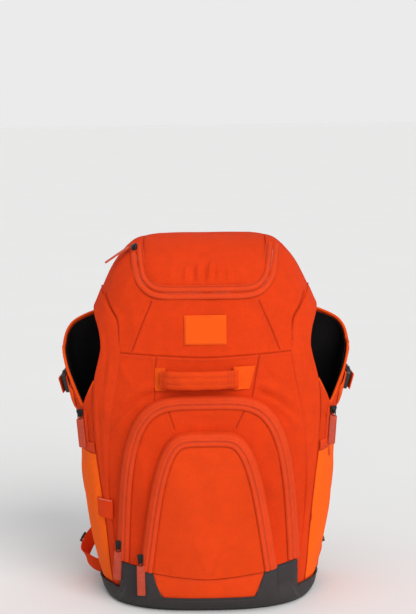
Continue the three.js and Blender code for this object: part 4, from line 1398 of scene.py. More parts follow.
        skin = skin.cut(-LidPanel.field(skin.points) - 0.1)
        skin.refine(near, 2)
        at = skin.points
        front = smooth((40 - at[:, 1]) / 60)
        soft = 0.75 * ripples(at, 85, 3) + 0.28 * ripples(at, 34, 5, (1, 1, 0.7))
        top = smooth((at[:, 2] - 330) / 60)
        # Pressing the seams in also sets where shade is painted into them.
        skin.dress(seams, self.folds(), soft * (0.35 + 0.65 * front) * (0.6 + 0.4 * top))
        piece = skin.solid("main_compartment", FORM.wall, self.wear.shell)
        ride(piece, "body_fabric", "main_shell")
        stitch = []
        for seam in seams[:3]:
            stitch.append(seam.line + np.array([0, 0, -3.4]) if seam is seams[2] else seam.line)
        for s in (-1, 1):
            stitch.append(FORM.on_front([(s * (x - 3.2), z) for x, z in self.TRAPEZOID]))
        for spots in self.HANDLE_SEAMS:
            stitch.append(FORM.on_front([(x + 3.0, z) for x, z in spots]))
        rows = Row("front_stitches", RowKind.BEADS, 3.0, 2.3, 0.55, self.wear.thread)
        ride(rows.make(snapped(stitch[2:], piece, 0.15)), "body_fabric")


@dataclass
class LidPanel:
    """The lid: the panel inside its zip, the raised band of the zip, and the coil."""

    wear: Wardrobe
    band_width: float = 17.0

    HALF = 86.0
    BOTTOM = 441.0
    BACK = 78.0
    CORNER = 26.0
    PATH = (
        # share of the way round, share of the half width, share of the bag's height
        (0, -1.02, 0.977),
        (0.08, -1, 0.96),
        (0.17, -0.97, 0.931),
        (0.24, -0.92, 0.899),
        (0.29, -0.8, 0.879),
        (0.34, -0.62, 0.873),
        (0.42, -0.3, 0.873),
        (0.5, 0, 0.873),
    )
    PUCKERS = (
        ((-23.9, 467), (-27, 446), 1.3, 3.4),
        ((-15.5, 463), (-16.5, 446), -0.9, 3.0),
        ((-8.9, 470), (-7.8, 446), 1.4, 3.2),
        ((-1.0, 466), (-1.4, 446), -1.0, 3.0),
        ((9.0, 474), (5.8, 446), 1.7, 3.0),
        ((14.5, 468), (13, 446), -1.0, 3.2),
        ((33.3, 465), (31.6, 446), 1.0, 3.6),
        ((45, 470), (44, 450), 0.6, 6.0),
        ((-45, 468), (-46, 450), 0.7, 6.0),
    )

    @classmethod
    def field(cls, points: Array) -> Array:
        """Returns how far outside the lid's edge each place is, below zero inside it."""
        x, y, z = points[:, 0], points[:, 1], points[:, 2]
        across, down = np.abs(x) - (cls.HALF - cls.CORNER), (cls.BOTTOM + cls.CORNER) - z
        corner = np.hypot(
            np.maximum(across, 0), np.maximum(down, 0)
        ) + np.minimum(np.maximum(across, down), 0)
        return np.maximum(corner - cls.CORNER, y - cls.BACK)

    def edge(self, t: Array) -> Array:
        """Returns (x, z) of the band's inner edge at a share of the way round."""
        at = np.where(t > 0.5, 1 - t, t)
        x = column(self.PATH, 1, at) * self.HALF
        z = column(self.PATH, 2, at) * FORM.height
        return np.stack([np.where(t > 0.5, -x, x), z], axis=-1)

    def band(self, t: Array, w: Array) -> Array:
        """Places on the band, w from its inner edge, 0, to its outer edge, 1."""
        step = 0.012
        along = unit(self.edge(np.clip(t + step, 0, 1)) - self.edge(np.clip(t - step, 0, 1)))
        p = self.edge(np.clip(t, 0, 1))
        x = p[..., 0] + along[..., 1] * w * self.band_width
        z = p[..., 1] - along[..., 0] * w * self.band_width
        return np.stack([x, FORM.front_y(x, z), z], axis=-1)

    def build(self) -> None:
        """Makes the lid's panel, band, coil and stitches."""
        shell = Compartment(self.wear, rows=260, front_columns=84)
        panel = shell.skin()
        panel = panel.cut(self.field(panel.points) + 0.3)
        inside = -self.field(panel.points)
        front = smooth((30 - panel.points[:, 1]) / 40)
        puff = 3.2 * (1 - np.exp(-np.maximum(inside - 0.3, 0) / 6.0)) * (0.35 + 0.65 * front) - 0.5
        folds = [Fold(FORM.on_front([a, b], 4.0), 1.6 * high, wide) for a, b, high, wide in self.PUCKERS]
        soft = 0.5 * ripples(panel.points, 60, 11)
        # Painted shade along the panel's edge, where it meets the zip band.
        panel.crease = np.exp(-((inside / 2.2) ** 2))
        panel.dress((), folds, puff + soft * smooth(inside / 20))
        piece = panel.solid("lid_cover", FORM.wall, self.wear.shell)
        ride(piece, "body_fabric", "lid_panel")
        ts = np.linspace(0.008, 0.992, 240)
        ws = np.linspace(-0.12, 1.0, 41)
        band = Cloth.grid(lambda t, w: self.band(t, w), ts, ws).facing((0, FORM.crest_y, 380))
        w = np.repeat(ws, len(ts))
        inner = np.exp(-(((w - 0.24) / 0.17) ** 4))
        outer = np.exp(-(((w - 0.78) / 0.2) ** 4))
        groove = np.exp(-(((w - 0.49) / 0.045) ** 2))
        # Painted shade in the coil's groove and along both edges of the band.
        band.crease = np.maximum(groove, np.exp(-(((w - 0.0) / 0.05) ** 2)))
        band.crease = np.maximum(band.crease, np.exp(-(((w - 1.0) / 0.05) ** 2)))
        soft = 0.15 * ripples(band.points, 30, 17)
        band.lift(0.9 + 2.3 * inner + 1.9 * outer - 0.4 * groove + soft)
        tape = band.solid("lid_band", 1.2, self.wear.tape)
        ride(tape, "zip_tape", "lid_zip_band")
        middle = self.band(ts, np.full(len(ts), 0.49))
        coil = Row("lid_coil", RowKind.BEADS, 1.6, 1.2, 2.6, self.wear.coil)
        ride(coil.make(snapped([middle], tape, 0.1)), "zip_tape")
        lines = [self.band(ts, np.full(len(ts), at)) for at in (0.12, 0.9)]
        rows = Row("lid_stitches", RowKind.BEADS, 3.0, 2.2, 0.5, self.wear.thread)
        ride(rows.make(snapped(lines, tape, 0.1)), "zip_tape")
        ride(zip_slider("lid_zip_slider", "lid_slider", self.wear), "black_plastic", "lid_slider")
        ride(pull_tab("lid_zip_pull", "lid_pull", self.wear), "pull_rubber", "lid_pull")


# The arched pockets


@dataclass
class ArchPocket:
    """An arched front pocket with its zip band, pull and slider."""

    wear: Wardrobe
    title: str
    half: float
    top: float
    depth: float
    taper: float
    round: float
    cloth: bpy.types.Material
    below: "ArchPocket | None" = None
    welt: float = 15.0
    lay: float = 0.7

    PLATE_TOP = 48.0
    CORNER_RIM = 64.0
    FOOT_HALF = 127.0

    @classmethod
    def foot(cls, x: Array | float) -> Array:
        """Returns the height of the pockets' lower edge."""
        return lerp(cls.PLATE_TOP, cls.CORNER_RIM, np.clip(np.abs(x) / cls.FOOT_HALF, 0, 1) ** 1.4)

    def spot(self, share: Array, angle: Array) -> Array:
        """Returns (x, z) at a share of the way out from the foot's middle, at an angle."""
        rise = share * np.abs(np.sin(angle)) ** (2 / self.round)
        wide = share * np.abs(np.cos(angle)) ** (2 / self.round)
        x = np.sign(-np.cos(angle)) * -1 * wide * self.half * (1 - self.taper * rise)
        return np.stack([x, lerp(self.foot(x), self.top, rise)], axis=-1)

    def outline(self) -> Array:
        """Returns the arch's edge as evenly spaced (x, z) spots."""
        angles = np.linspace(0, math.pi, 721)
        return along_line(self.spot(np.ones(721), angles), 2.0)

    def inside(self, x: Array, z: Array) -> Array:
        """Returns the distance in from the arch's edge, 0 outside it."""
        flat = np.column_stack([np.ravel(x), np.ravel(z)])
        edge = self.outline()
        tail = np.array([[edge[0, 0], -80.0]]), np.array([[edge[-1, 0], -80.0]])
        edge = np.concatenate([tail[0], edge, tail[1]])
        away, _ = nearest(flat, edge)
        rise = np.maximum(0, (flat[:, 1] - self.foot(flat[:, 0])) / (self.top - self.foot(flat[:, 0])))
        wide = np.abs(flat[:, 0]) / (self.half * (1 - self.taper * np.minimum(rise, 1)))
        share = rise**self.round + wide**self.round
        return np.where(share <= 1.0, away, 0.0).reshape(np.shape(x))

    def proud(self, x: Array, z: Array) -> Array:
        """Returns how far the pocket stands out of what carries it."""
        k = np.clip(self.inside(x, z) / self.welt, 0, 1)
        return self.lay + self.depth * (1 - (1 - k) ** 2.6) ** (1 / 2.2)

    def face(self, x: Array, z: Array) -> Array:
        """Returns the depth of the pocket's face."""
        carrier = FORM.front_y(x, z) if self.below is None else self.below.face(x, z)
        return carrier - self.proud(x, z)

    def inset(self, away: Array | float, share: Array) -> Array:
        """Returns places on the face, away mm in from the edge, at a share of the way round."""
        edge = self.outline()
        run = np.concatenate([[0], np.cumsum(np.linalg.norm(np.diff(edge, axis=0), axis=1))])
        at = share * run[-1]
        spot = np.stack([np.interp(at, run, edge[:, i]) for i in range(2)], axis=-1)
        ahead = np.stack([np.interp(at + 4, run, edge[:, i]) for i in range(2)], axis=-1)
        behind = np.stack([np.interp(at - 4, run, edge[:, i]) for i in range(2)], axis=-1)
        along = unit(ahead - behind)
        into = np.stack([-along[..., 1], along[..., 0]], axis=-1)
        spot = spot + into * np.broadcast_to(away, np.shape(share))[..., None]
        x, z = spot[..., 0], spot[..., 1]
        return np.stack([x, self.face(x, z), z], axis=-1)

    def line(self, spots: Sequence[Sequence[float]]) -> Array:
        """Returns a line through (x, z) spots on the face."""
        line = rounded_line(spots, 3.0)
        return np.column_stack([line[:, 0], self.face(line[:, 0], line[:, 1]), line[:, 1]])

    def build(self, seams: Sequence[Sequence[Sequence[float]]], folds: Sequence[tuple]) -> None:
        """Makes the pocket, its zip and its small parts.

        Args:
            seams: Sewn lines of (x, z) spots.
            folds: Folds as (spots, height, width).
        """
        near_edge = 1 - 0.16 * np.linspace(0, 1, 26) ** 1.4
        shares = np.concatenate([[1.0], near_edge[1:], np.linspace(0.835, 0.0, 57)])
        angles = np.linspace(0, math.pi, 240)

        def surface(a: Array, s: Array) -> Array:
            """Places on the face."""
            spot = self.spot(s, a)
            return np.stack(
                [spot[..., 0], self.face(spot[..., 0], spot[..., 1]), spot[..., 1] + 0.3], axis=-1
            )

        skin = Cloth.grid(surface, angles, shares).facing((0, 60, 160))
        lines = [self.line(spots) for spots in seams]
        if lines:
            skin.refine(lambda p: np.min([nearest(p, line)[0] for line in lines], axis=0) < 3.5, 1)
        at = skin.points
        inside = self.inside(at[:, 0], at[:, 2])
        calm = smooth((inside - 14) / 24)
        wide_soft = 0.9 * ripples(at, 90, 21 + len(self.title)) + 0.35 * ripples(at, 36, 25, (1, 1, 0.8))
        made = [Fold(self.line(spots), high, wide) for spots, high, wide in folds]
        # Painted shade where the face tucks under the zip band, and in the sewn lines.
        skin.crease = 0.8 * np.exp(-(((inside - 17.8) / 0.9) ** 2))
        tuck = -0.9 * np.exp(-(((inside - 17.8) / 1.1) ** 2))
        skin.dress([Seam(line, 0.7, 0.9, 0.4) for line in lines], made, wide_soft * calm + tuck)
        piece = skin.solid(self.title + "_front_pocket", 1.8, self.cloth)
        ride(piece, "bright_fabric" if self.below else "body_fabric", self.title + "_pocket")

        ways = np.linspace(0.0, 1.0, 300)
        aways = np.linspace(1.0, 17.6, 44)
        band = Cloth.grid(lambda k, d: self.inset(d, k), ways, aways).facing((0, 60, 160))
        d = np.repeat(aways, len(ways))
        outer = np.exp(-(((d - 6.0) / 4.3) ** 6))
        inner = np.exp(-(((d - 14.2) / 2.6) ** 6))
        groove = np.exp(-(((d - 10.9) / 0.7) ** 2))
        vein = np.exp(-(((d - 6.6) / 0.6) ** 2))
        # Painted shade in the coil's groove, along the vein and at the band's inner edge.
        band.crease = np.maximum(0.75 * groove, 0.25 * vein)
        band.crease = np.maximum(band.crease, 0.6 * np.exp(-((d - 17.6) ** 2)))
        band.lift(
            0.35 + 1.5 * outer + 1.3 * inner - 0.5 * groove - 0.25 * vein + 0.12 * ripples(band.points, 26, 31)
        )
        tape = band.solid(self.title + "_zip_band", 1.0, self.wear.tape)
        ride(tape, "zip_tape", self.title + "_zip")
        coil = Row(self.title + "_coil", RowKind.BEADS, 1.6, 1.2, 1.7, self.wear.coil)
        ride(coil.make(snapped([self.inset(10.9, ways[2:-2])], tape, -0.25)), "zip_tape")
        rows = Row(self.title + "_stitches", RowKind.BEADS, 3.0, 2.2, 0.5, self.wear.thread)
        stitches = snapped([self.inset(a, ways[2:-2]) for a in (2.6, 16.2)], tape, 0.1)
        stitches += snapped([line + np.array([2.6, 0, 0]) for line in lines], piece, 0.1)
        ride(rows.make(stitches), "zip_tape")
        slider, pull = self.title + "_slider", self.title + "_pull"
        ride(zip_slider(self.title + "_zip_slider", slider, self.wear, 0.75, 2.2), "black_plastic", slider)
        ride(pull_tab(self.title + "_zip_pull", pull, self.wear, 0.75, 3.2), "pull_rubber", pull)


# The sides: gussets and bat sleeves


@dataclass
class SidePanel:
    """The gusset beside the front panel, up to where it dies into the shoulder."""

    wear: Wardrobe
    side: int
    name: str

    SEAM = ((366, 117.5), (380, 118.5), (395, 121.5), (409, 130.5), (424, 139.5), (436, 147.0))
    EDGE = ((366, 145.0), (380, 147.5), (394, 152.0), (404, 155.5), (412, 156.0), (436, 148.5))

    def bounds(self, z: Array) -> tuple[Array, Array]:
        """Returns the gusset's inner and outer half widths at a height."""
        low, high = FORM.corner(z) - 2.0, FORM.read(Col.EDGE, z) - 0.4
        k = smooth((z - 352) / 16)
        half = FORM.read(Col.HALF, z) * 0.9995
        inner = lerp(low, column(self.SEAM, 1, z), k)
        outer = lerp(high, column(self.EDGE, 1, z), k)
        return np.minimum(inner, half), np.minimum(outer, half)

    def surface(self, k: Array, z: Array) -> Array:
        """Places on the gusset."""
        inner, outer = self.bounds(z)
        x = lerp(inner, np.maximum(outer, inner + 0.05), k)
        return np.stack([self.side * x, FORM.front_y(x, z), z], axis=-1)

    def build(self) -> None:
        """Makes the gusset and its stitches."""
        zs = np.linspace(8.0, 435.0, 210)
        ks = np.linspace(0, 1, 34)
        skin = Cloth.grid(self.surface, ks, zs).facing((0, FORM.crest_y, 220))
        k = np.tile(ks, len(zs))
        z = np.repeat(zs, len(ks))
        inner, outer = self.bounds(z)
        from_seam, from_edge = (outer - inner) * k, (outer - inner) * (1 - k)
        tuck = np.exp(-((from_seam / 1.3) ** 2))
        swell = 1.4 * np.minimum(1, (from_seam / 7) ** 0.6) * smooth(from_edge / 5 + 0.35)
        # Painted shade along the seam, where the gusset tucks in.
        skin.crease = 0.9 * tuck
        folds = []
        for foot, top, high, wide in (
            (60, 205, 1.0, 5.0),
            (150, 300, -0.9, 4.0),
            (250, 345, 1.1, 4.5),
            (300, 388, -0.8, 4.5),
        ):
            where = (0.35 if high > 0 else 0.62) + 0.05 * self.side
            line = self.surface(np.linspace(where, where + 0.15, 8), np.linspace(foot, top, 8))
            folds.append(Fold(line, high, wide))
        soft = 0.55 * ripples(skin.points, 46, 41 + self.side, (1, 1, 0.6))
        above = 0.9 * smooth((z - 376) / 24)
        skin.dress(
            (), folds, swell - 0.8 * tuck + above + soft * smooth(from_seam / 6) * smooth(from_edge / 6)
        )
        piece = skin.solid("gusset_panel_" + self.name, 2.2, self.wear.gusset)
        ride(piece, "body_fabric", "gusset_" + self.name)
        heights = np.linspace(20.0, 425.0, 150)
        line = self.surface(np.full(150, 0.0), heights)
        inner, outer = self.bounds(heights)
        line = np.column_stack([self.side * (inner + 3.0), FORM.front_y(inner + 3.0, heights), heights])
        rows = Row("gusset_stitches_" + self.name, RowKind.BEADS, 3.0, 2.3, 0.55, self.wear.thread)
        ride(rows.make(snapped([line], piece, 0.12)), "body_fabric")


@dataclass
class BatSleeve:
    """A bat sleeve with its lining, zip, side pocket, compression strap and buckle."""

    wear: Wardrobe
    side: int
    name: str
    foot: float = 8.0

    BAND_Z = 221.0
    BAND = 15.0
    ZIP_TOP = 269.0
    ZIP_FROM = 0.11
    ZIP_TO = 0.17
    STRAP_FROM = 0.27
    STRAP_TO = 0.82
    STRAP_Z = 278.0
    STRAP_RISE = 80.0
    WEB = 25.0
    POCKET_FOOT = 24.0

    def at(self, u: Array, z: Array) -> Array:
        """Returns places on the sleeve."""
        return FORM.sleeve(self.side, u, z)

    def hem_top(self, u: Array) -> Array:
        """Returns the height of the pocket band's top."""
        return self.BAND_Z + 10 * smooth(u / 0.6)

    def strap_z(self, u: Array) -> Array:
        """Returns the height of the compression strap's middle."""
        return self.STRAP_Z + self.STRAP_RISE * (u - self.STRAP_FROM)

    def spread(self, us: Array, vs: Array, top: Callable, low: Callable) -> Cloth:
        """A skin laid on the sleeve between two heights.

        Args:
            us: Shares of the way round.
            vs: Shares of the way up.
            top: Height of the upper edge at u.
            low: Height of the lower edge at u.

        Returns:
            The skin, facing outwards.
        """
        skin = Cloth.grid(lambda u, v: self.at(u, lerp(low(u), top(u), v)), us, vs)
        return skin.facing((self.side * 120, 20, 200))

    def rim_line(self, drop: float, out: float = 0.0) -> Array:
        """Returns a line along the rim, drop mm below it and out mm off the skin."""
        us = np.linspace(0.0, 1.0, 160)
        line = self.at(us, FORM.rim(us) - drop)
        if out:
            low = self.at(us, FORM.rim(us) - drop - 2)
            ahead = np.gradient(line, axis=0)
            normal = unit(np.cross(ahead, line - low))
            away = line - np.array([self.side * 125.0, 25.0, 0.0]) * [1, 1, 0]
            away[:, 2] = 0
            normal *= np.sign((normal * away).sum(axis=1))[:, None]
            line = line + normal * out
        return line

    def skin_folds(self) -> list[Fold]:
        """Returns the folds of the sleeve's skin."""
        table = (
            # u and z of both ends, height, width
            (0.02, 300, 0.2, 236, 1.5, 5.0),
            (0.04, 262, 0.2, 222, -1.1, 4.0),
            (0.22, 262, 0.5, 246, 1.3, 6.0),
            (0.2, 240, 0.55, 232, -1.0, 5.0),
            (0.3, 292, 0.2, 262, 1.4, 5.0),
            (0.36, 330, 0.62, 352, 1.2, 7.0),
            (0.6, 300, 0.9, 330, 1.5, 9.0),
            (0.55, 258, 0.9, 250, -1.2, 7.0),
        )
        found = []
        for u0, z0, u1, z1, high, wide in table:
            us = np.linspace(u0, u1, 9)
            zs = np.linspace(z0, z1, 9) + 5 * np.sin(np.linspace(0, math.pi, 9))
            found.append(Fold(self.at(us, zs), high, wide))
        return found

    def build_skin(self) -> None:
        """Makes the sleeve's skin, its binding and its stitches."""
        us = np.linspace(0, 1, 96)
        vs = np.linspace(0, 1, 130)
        skin = self.spread(us, vs, FORM.rim, lambda u: self.foot + 0 * u)
        at = skin.points
        soft = 0.7 * ripples(at, 60, 51 + self.side, (1, 1, 1.3)) + 0.3 * ripples(at, 26, 57)
        edge = smooth((self.rim_height(at) - at[:, 2]) / 16)
        skin.dress((), self.skin_folds(), soft * (0.15 + 0.85 * edge))
        # Painted shade along the sleeve's front seam, at the gusset.
        skin.crease = 0.5 * np.exp(-((np.tile(us, len(vs)) / 0.012) ** 2))
        piece = skin.solid("bat_sleeve_" + self.name, 2.4, self.wear.shell)
        ride(piece, "body_fabric", "sleeve_" + self.name)
        mouth = tube("sleeve_binding_" + self.name, self.rim_line(-0.3, -1.2), 5.0, self.wear.bright, 3.8)
        ride(mouth, "bright_fabric")
        stitch = Row("sleeve_stitches_" + self.name, RowKind.BEADS, 3.0, 2.3, 0.55, self.wear.thread)
        lines = snapped([self.rim_line(5.0)[4:-4]], piece, 0.12)
        ride(stitch.make(lines), "body_fabric")

    def rim_height(self, points: Array) -> Array:
        """Returns the height of the rim above each place of a skin laid on the sleeve."""
        us = np.linspace(0, 1, 60)
        turn = np.arctan2(points[:, 1] - 20, self.side * points[:, 0] - 100)
        line = self.at(us, FORM.rim(us))
        turns = np.arctan2(line[:, 1] - 20, self.side * line[:, 0] - 100)
        order = np.argsort(turns)
        return np.interp(turn, turns[order], FORM.rim(us)[order])

    def build_lining(self) -> None:
        """Makes the black lining: down the inside of the skin and along the compartment."""
        us = np.concatenate([[0.03], np.linspace(0.12, 0.94, 40)])
        vs = np.linspace(0, 1, 70)
        low, gusset_top = 34.0, 395.0
        rows = []
        for v in vs:
            z = lerp(low, FORM.rim(us) - 2.5, v)
            p = self.at(us, z)
            e = 0.004
            du = self.at(us + e, z) - self.at(us - e, z)
            dz = self.at(us, z + 1) - self.at(us, z - 1)
            normal = unit(np.cross(du, dz))
            away = p - np.array([0.0, FORM.widest_y, 0.0])
            away[:, 2] = 0
            normal *= np.sign((normal * away).sum(axis=1))[:, None]
            skin = p - normal * 3.9
            h = lerp(low, gusset_top - 12, v)
            depths = np.linspace(0.92, 0.3, 14)
            shell_x, shell_y = FORM.side_of_shell(depths, np.full(14, h))
            wall = np.column_stack([self.side * (shell_x + 3.6), shell_y, np.full(14, h)])
            corner = FORM.corner(h) + 5
            turn = np.array([[self.side * corner, FORM.front_y(corner, h) + 11, h]])
            ring = np.concatenate([skin, wall, turn, skin[:1]])
            rows.append(ring)
        cloth = Cloth.rows(np.array(rows))
        cloth.facing((self.side * 140, 30, 200))
        cloth.lift(0.5 * ripples(cloth.points, 40, 61) - 0.4)
        piece = cloth.solid("sleeve_inner_" + self.name, 1.0, self.wear.lining)
        ride(piece, "lining", "sleeve_lining_" + self.name)

    def build_pocket(self) -> None:
        """Makes the side pocket, its band and the zip above it."""
        us = np.linspace(0.008, 0.93, 80)
        hem_low = lambda u: self.hem_top(u) - self.BAND
        band = self.spread(us, np.linspace(0, 1, 14), self.hem_top, hem_low)
        v = np.repeat(np.linspace(0, 1, 14), len(us))
        # Painted shade along the band's lower edge, over the pouch.
        band.crease = np.exp(-(((v - 0.03) / 0.07) ** 2))
        band.lift(1.1 + 1.5 * np.sin(math.pi * np.clip(v, 0, 1)) ** 0.5 + 0.5 * ripples(band.points, 50, 71))
        hem = band.solid("side_hem_" + self.name, 1.2, self.wear.tape)
        ride(hem, "zip_tape", "pocket_band_" + self.name)
        vs = np.linspace(0, 1, 90)
        cloth = self.spread(us, vs, lambda u: hem_low(u) - 0.3, lambda u: self.POCKET_FOOT + 0 * u)
        v = np.repeat(vs, len(us))
        u = np.tile(us, len(vs))
        slack = 2.6 * smooth(v * 3) * smooth((1 - v) * 4) * smooth(u / 0.06)
        folds = []
        for u0, z0, u1, z1, high, wide in (
            (0.03, 196, 0.3, 172, 1.6, 6.0),
            (0.05, 60, 0.3, 96, 1.3, 7.0),
            (0.3, 200, 0.5, 120, 1.6, 8.0),
            (0.55, 190, 0.6, 60, 1.5, 9.0),
            (0.16, 180, 0.2, 60, -1.3, 7.0),
        ):
            line = self.at(np.linspace(u0, u1, 8), np.linspace(z0, z1, 8))
            folds.append(Fold(line, high, wide))
        soft = 0.8 * ripples(cloth.points, 54, 73, (1, 1, 0.7))
        cloth.dress((), folds, 0.9 + slack * 0.5 + soft * smooth(u / 0.05) * smooth(v * 5))
        piece = cloth.solid("side_pouch_" + self.name, 1.4, self.wear.pouch)
        ride(piece, "bright_fabric", "side_pocket_" + self.name)
        zip_us = np.linspace(self.ZIP_FROM - 0.015, self.ZIP_TO + 0.015, 18)
        tape = self.spread(
            zip_us, np.linspace(0, 1, 30), lambda u: self.ZIP_TOP - 4 + 0 * u, lambda u: self.hem_top(u) - 2
        )
        k = np.tile(np.linspace(-1, 1, 18), 30)
        # Painted shade in the coil's groove.
        tape.crease = np.exp(-((k / 0.12) ** 2))
        tape.lift(0.9 + 1.1 * np.exp(-(((np.abs(k) - 0.5) / 0.3) ** 4)))
        tape_piece = tape.solid("sleeve_zip_tape_" + self.name, 1.0, self.wear.tape)
        ride(tape_piece, "zip_tape", "sleeve_zip_" + self.name)
        middle = (self.ZIP_FROM + self.ZIP_TO) / 2
        zs = np.linspace(self.BAND_Z + 2, self.ZIP_TOP - 6, 30)
        line = self.at(np.full(30, middle), zs)
        rows = Row("sleeve_coil_" + self.name, RowKind.BEADS, 1.6, 1.2, 2.4, self.wear.coil)
        ride(rows.make(snapped([line], tape_piece, 0.1)), "zip_tape")
        stitch = Row("pouch_stitches_" + self.name, RowKind.BEADS, 3.0, 2.3, 0.55, self.wear.thread)
        around = np.linspace(0.02, 0.9, 90)
        lines = snapped(
            [self.at(around, self.hem_top(around) - self.BAND + d) for d in (2.4, 12.4)], hem, 0.12
        )
        ride(stitch.make(lines), "bright_fabric")
        name = "sleeve_slider_" + self.name
        ride(zip_slider("sleeve_zip_slider_" + self.name, name, self.wear, 0.6, 1.2), "black_plastic", name)
        name = "sleeve_pull_" + self.name
        ride(pull_tab("sleeve_zip_pull_" + self.name, name, self.wear, 0.6, 3.0), "pull_rubber", name)

    def build_strap(self) -> None:
        """Makes the compression strap and its side release buckle."""
        us = np.linspace(self.STRAP_FROM, self.STRAP_TO, 60)
        top = lambda u: self.strap_z(u) + self.WEB / 2
        low = lambda u: self.strap_z(u) - self.WEB / 2
        strap = self.spread(us, np.linspace(0, 1, 16), top, low)
        u = np.tile(us, 16)
        lifted = 2.0 * np.exp(-(((u - 0.5) / 0.1) ** 2))
        strap.lift(3.4 + lifted)
        piece = strap.solid("compression_web_" + self.name, 1.8, self.wear.webbing)
        ride(piece, "webbing", "compression_strap_" + self.name)
        name = "buckle_" + self.name
        ride(
            side_release_buckle("side_release_" + self.name, name, self.side, self.wear), "black_plastic", name
        )
        rows = Row("strap_tacks_" + self.name, RowKind.BEADS, 1.5, 1.3, 0.7, self.wear.dark_thread)
        lines = []
        for at in (self.STRAP_FROM + 0.012, self.STRAP_FROM + 0.024, self.STRAP_TO - 0.012):
            zs = np.linspace(low(at) + 2, top(at) - 2, 12)
            lines.append(self.at(np.full(12, at), zs))
        ride(rows.make(snapped(lines, piece, 0.1)), "webbing")

    def build(self) -> None:
        """Makes every piece of the sleeve."""
        self.build_skin()
        self.build_lining()
        self.build_pocket()
        self.build_strap()


def side_release_buckle(name: str, node: str, side: int, wear: Wardrobe) -> bpy.types.Object:
    """A side release buckle in the seat of a CAD node.

    Args:
        name: The piece's name.
        node: The CAD node.
        side: Which side of the bag it is on; not used.
        wear: The finishes.

    Returns:
        The piece.
    """
    seat = Seat.of(node)
    long_way = seat.down
    size = seat.size
    if abs(long_way[1]) < abs(seat.wide[1]):
        seat = Seat(seat.middle, seat.wide, seat.down, seat.out, np.array([size[1], size[0], size[2]]))
    deep = 8.6
    parts = []
    body = np.array(
        [
            (-13.5, -3.0), (-14.6, 2.0), (-14.6, 9.0), (-13.6, 15.0), (-11.0, 17.8), (0.0, 18.0),
            (11.0, 17.8), (13.6, 15.0), (14.6, 9.0), (14.6, 2.0), (13.5, -3.0), (0.0, -4.0),
        ]
    )
    ring = along_line(np.concatenate([body, body[:1]]), 1.2)[:-1]
    parts.append(seat.plate(name + "_body", ring, -deep / 2 + 0.6, deep / 2 - 0.4, 1.7, wear.black))
    parts.append(seat.plate(name + "_inset", box_outline(15, 10, 3, (0, 6)), deep / 2 - 1.2, deep / 2 + 0.1, 0.6, wear.black))
    for s in (-1, 1):
        prong = [(s * 9.5, -12.0, 0.4), (s * 12.6, -8.0, 0.4), (s * 14.6, -2.0, 0.4), (s * 14.9, 5.0, 0.4), (s * 13.6, 9.0, 0.4)]
        parts.append(
            seat.bar(f"{name}_prong{s}", rounded_line(prong, 1.2), oval(3.4, 4.4, 3, 12), (1, 0, 0), wear.black)
        )
        rail = [(s * 13.0, -17.0, -0.6), (s * 13.2, -12.0, -0.2), (s * 12.6, -7.0, 0.2)]
        parts.append(
            seat.bar(f"{name}_rail{s}", rounded_line(rail, 1.2), oval(3.6, 4.6, 3, 12), (1, 0, 0), wear.black)
        )
    for y, out in ((-16.8, 0.2), (-11.6, 1.0), (-6.2, 0.6)):
        bar = [(-13.6, y, out), (0.0, y, out + 0.4), (13.6, y, out)]
        parts.append(
            seat.bar(f"{name}_bar{y}", rounded_line(bar, 2.0), oval(3.4, 3.0, 2.6, 12), (0, 0, 1), wear.black)
        )
    tail = [(0, -17.0, 1.6), (0, -12.0, 3.6), (0, -6.0, 4.4), (0, 4.0, 5.4), (0, 12.0, 6.6), (0, 19.0, 7.4)]
    parts.append(
        seat.bar(name + "_tail", rounded_line(tail, 1.5), oval(24.0, 1.6, 6, 16), (1, 0, 0), wear.webbing)
    )
    return joined(name, parts)


# The base


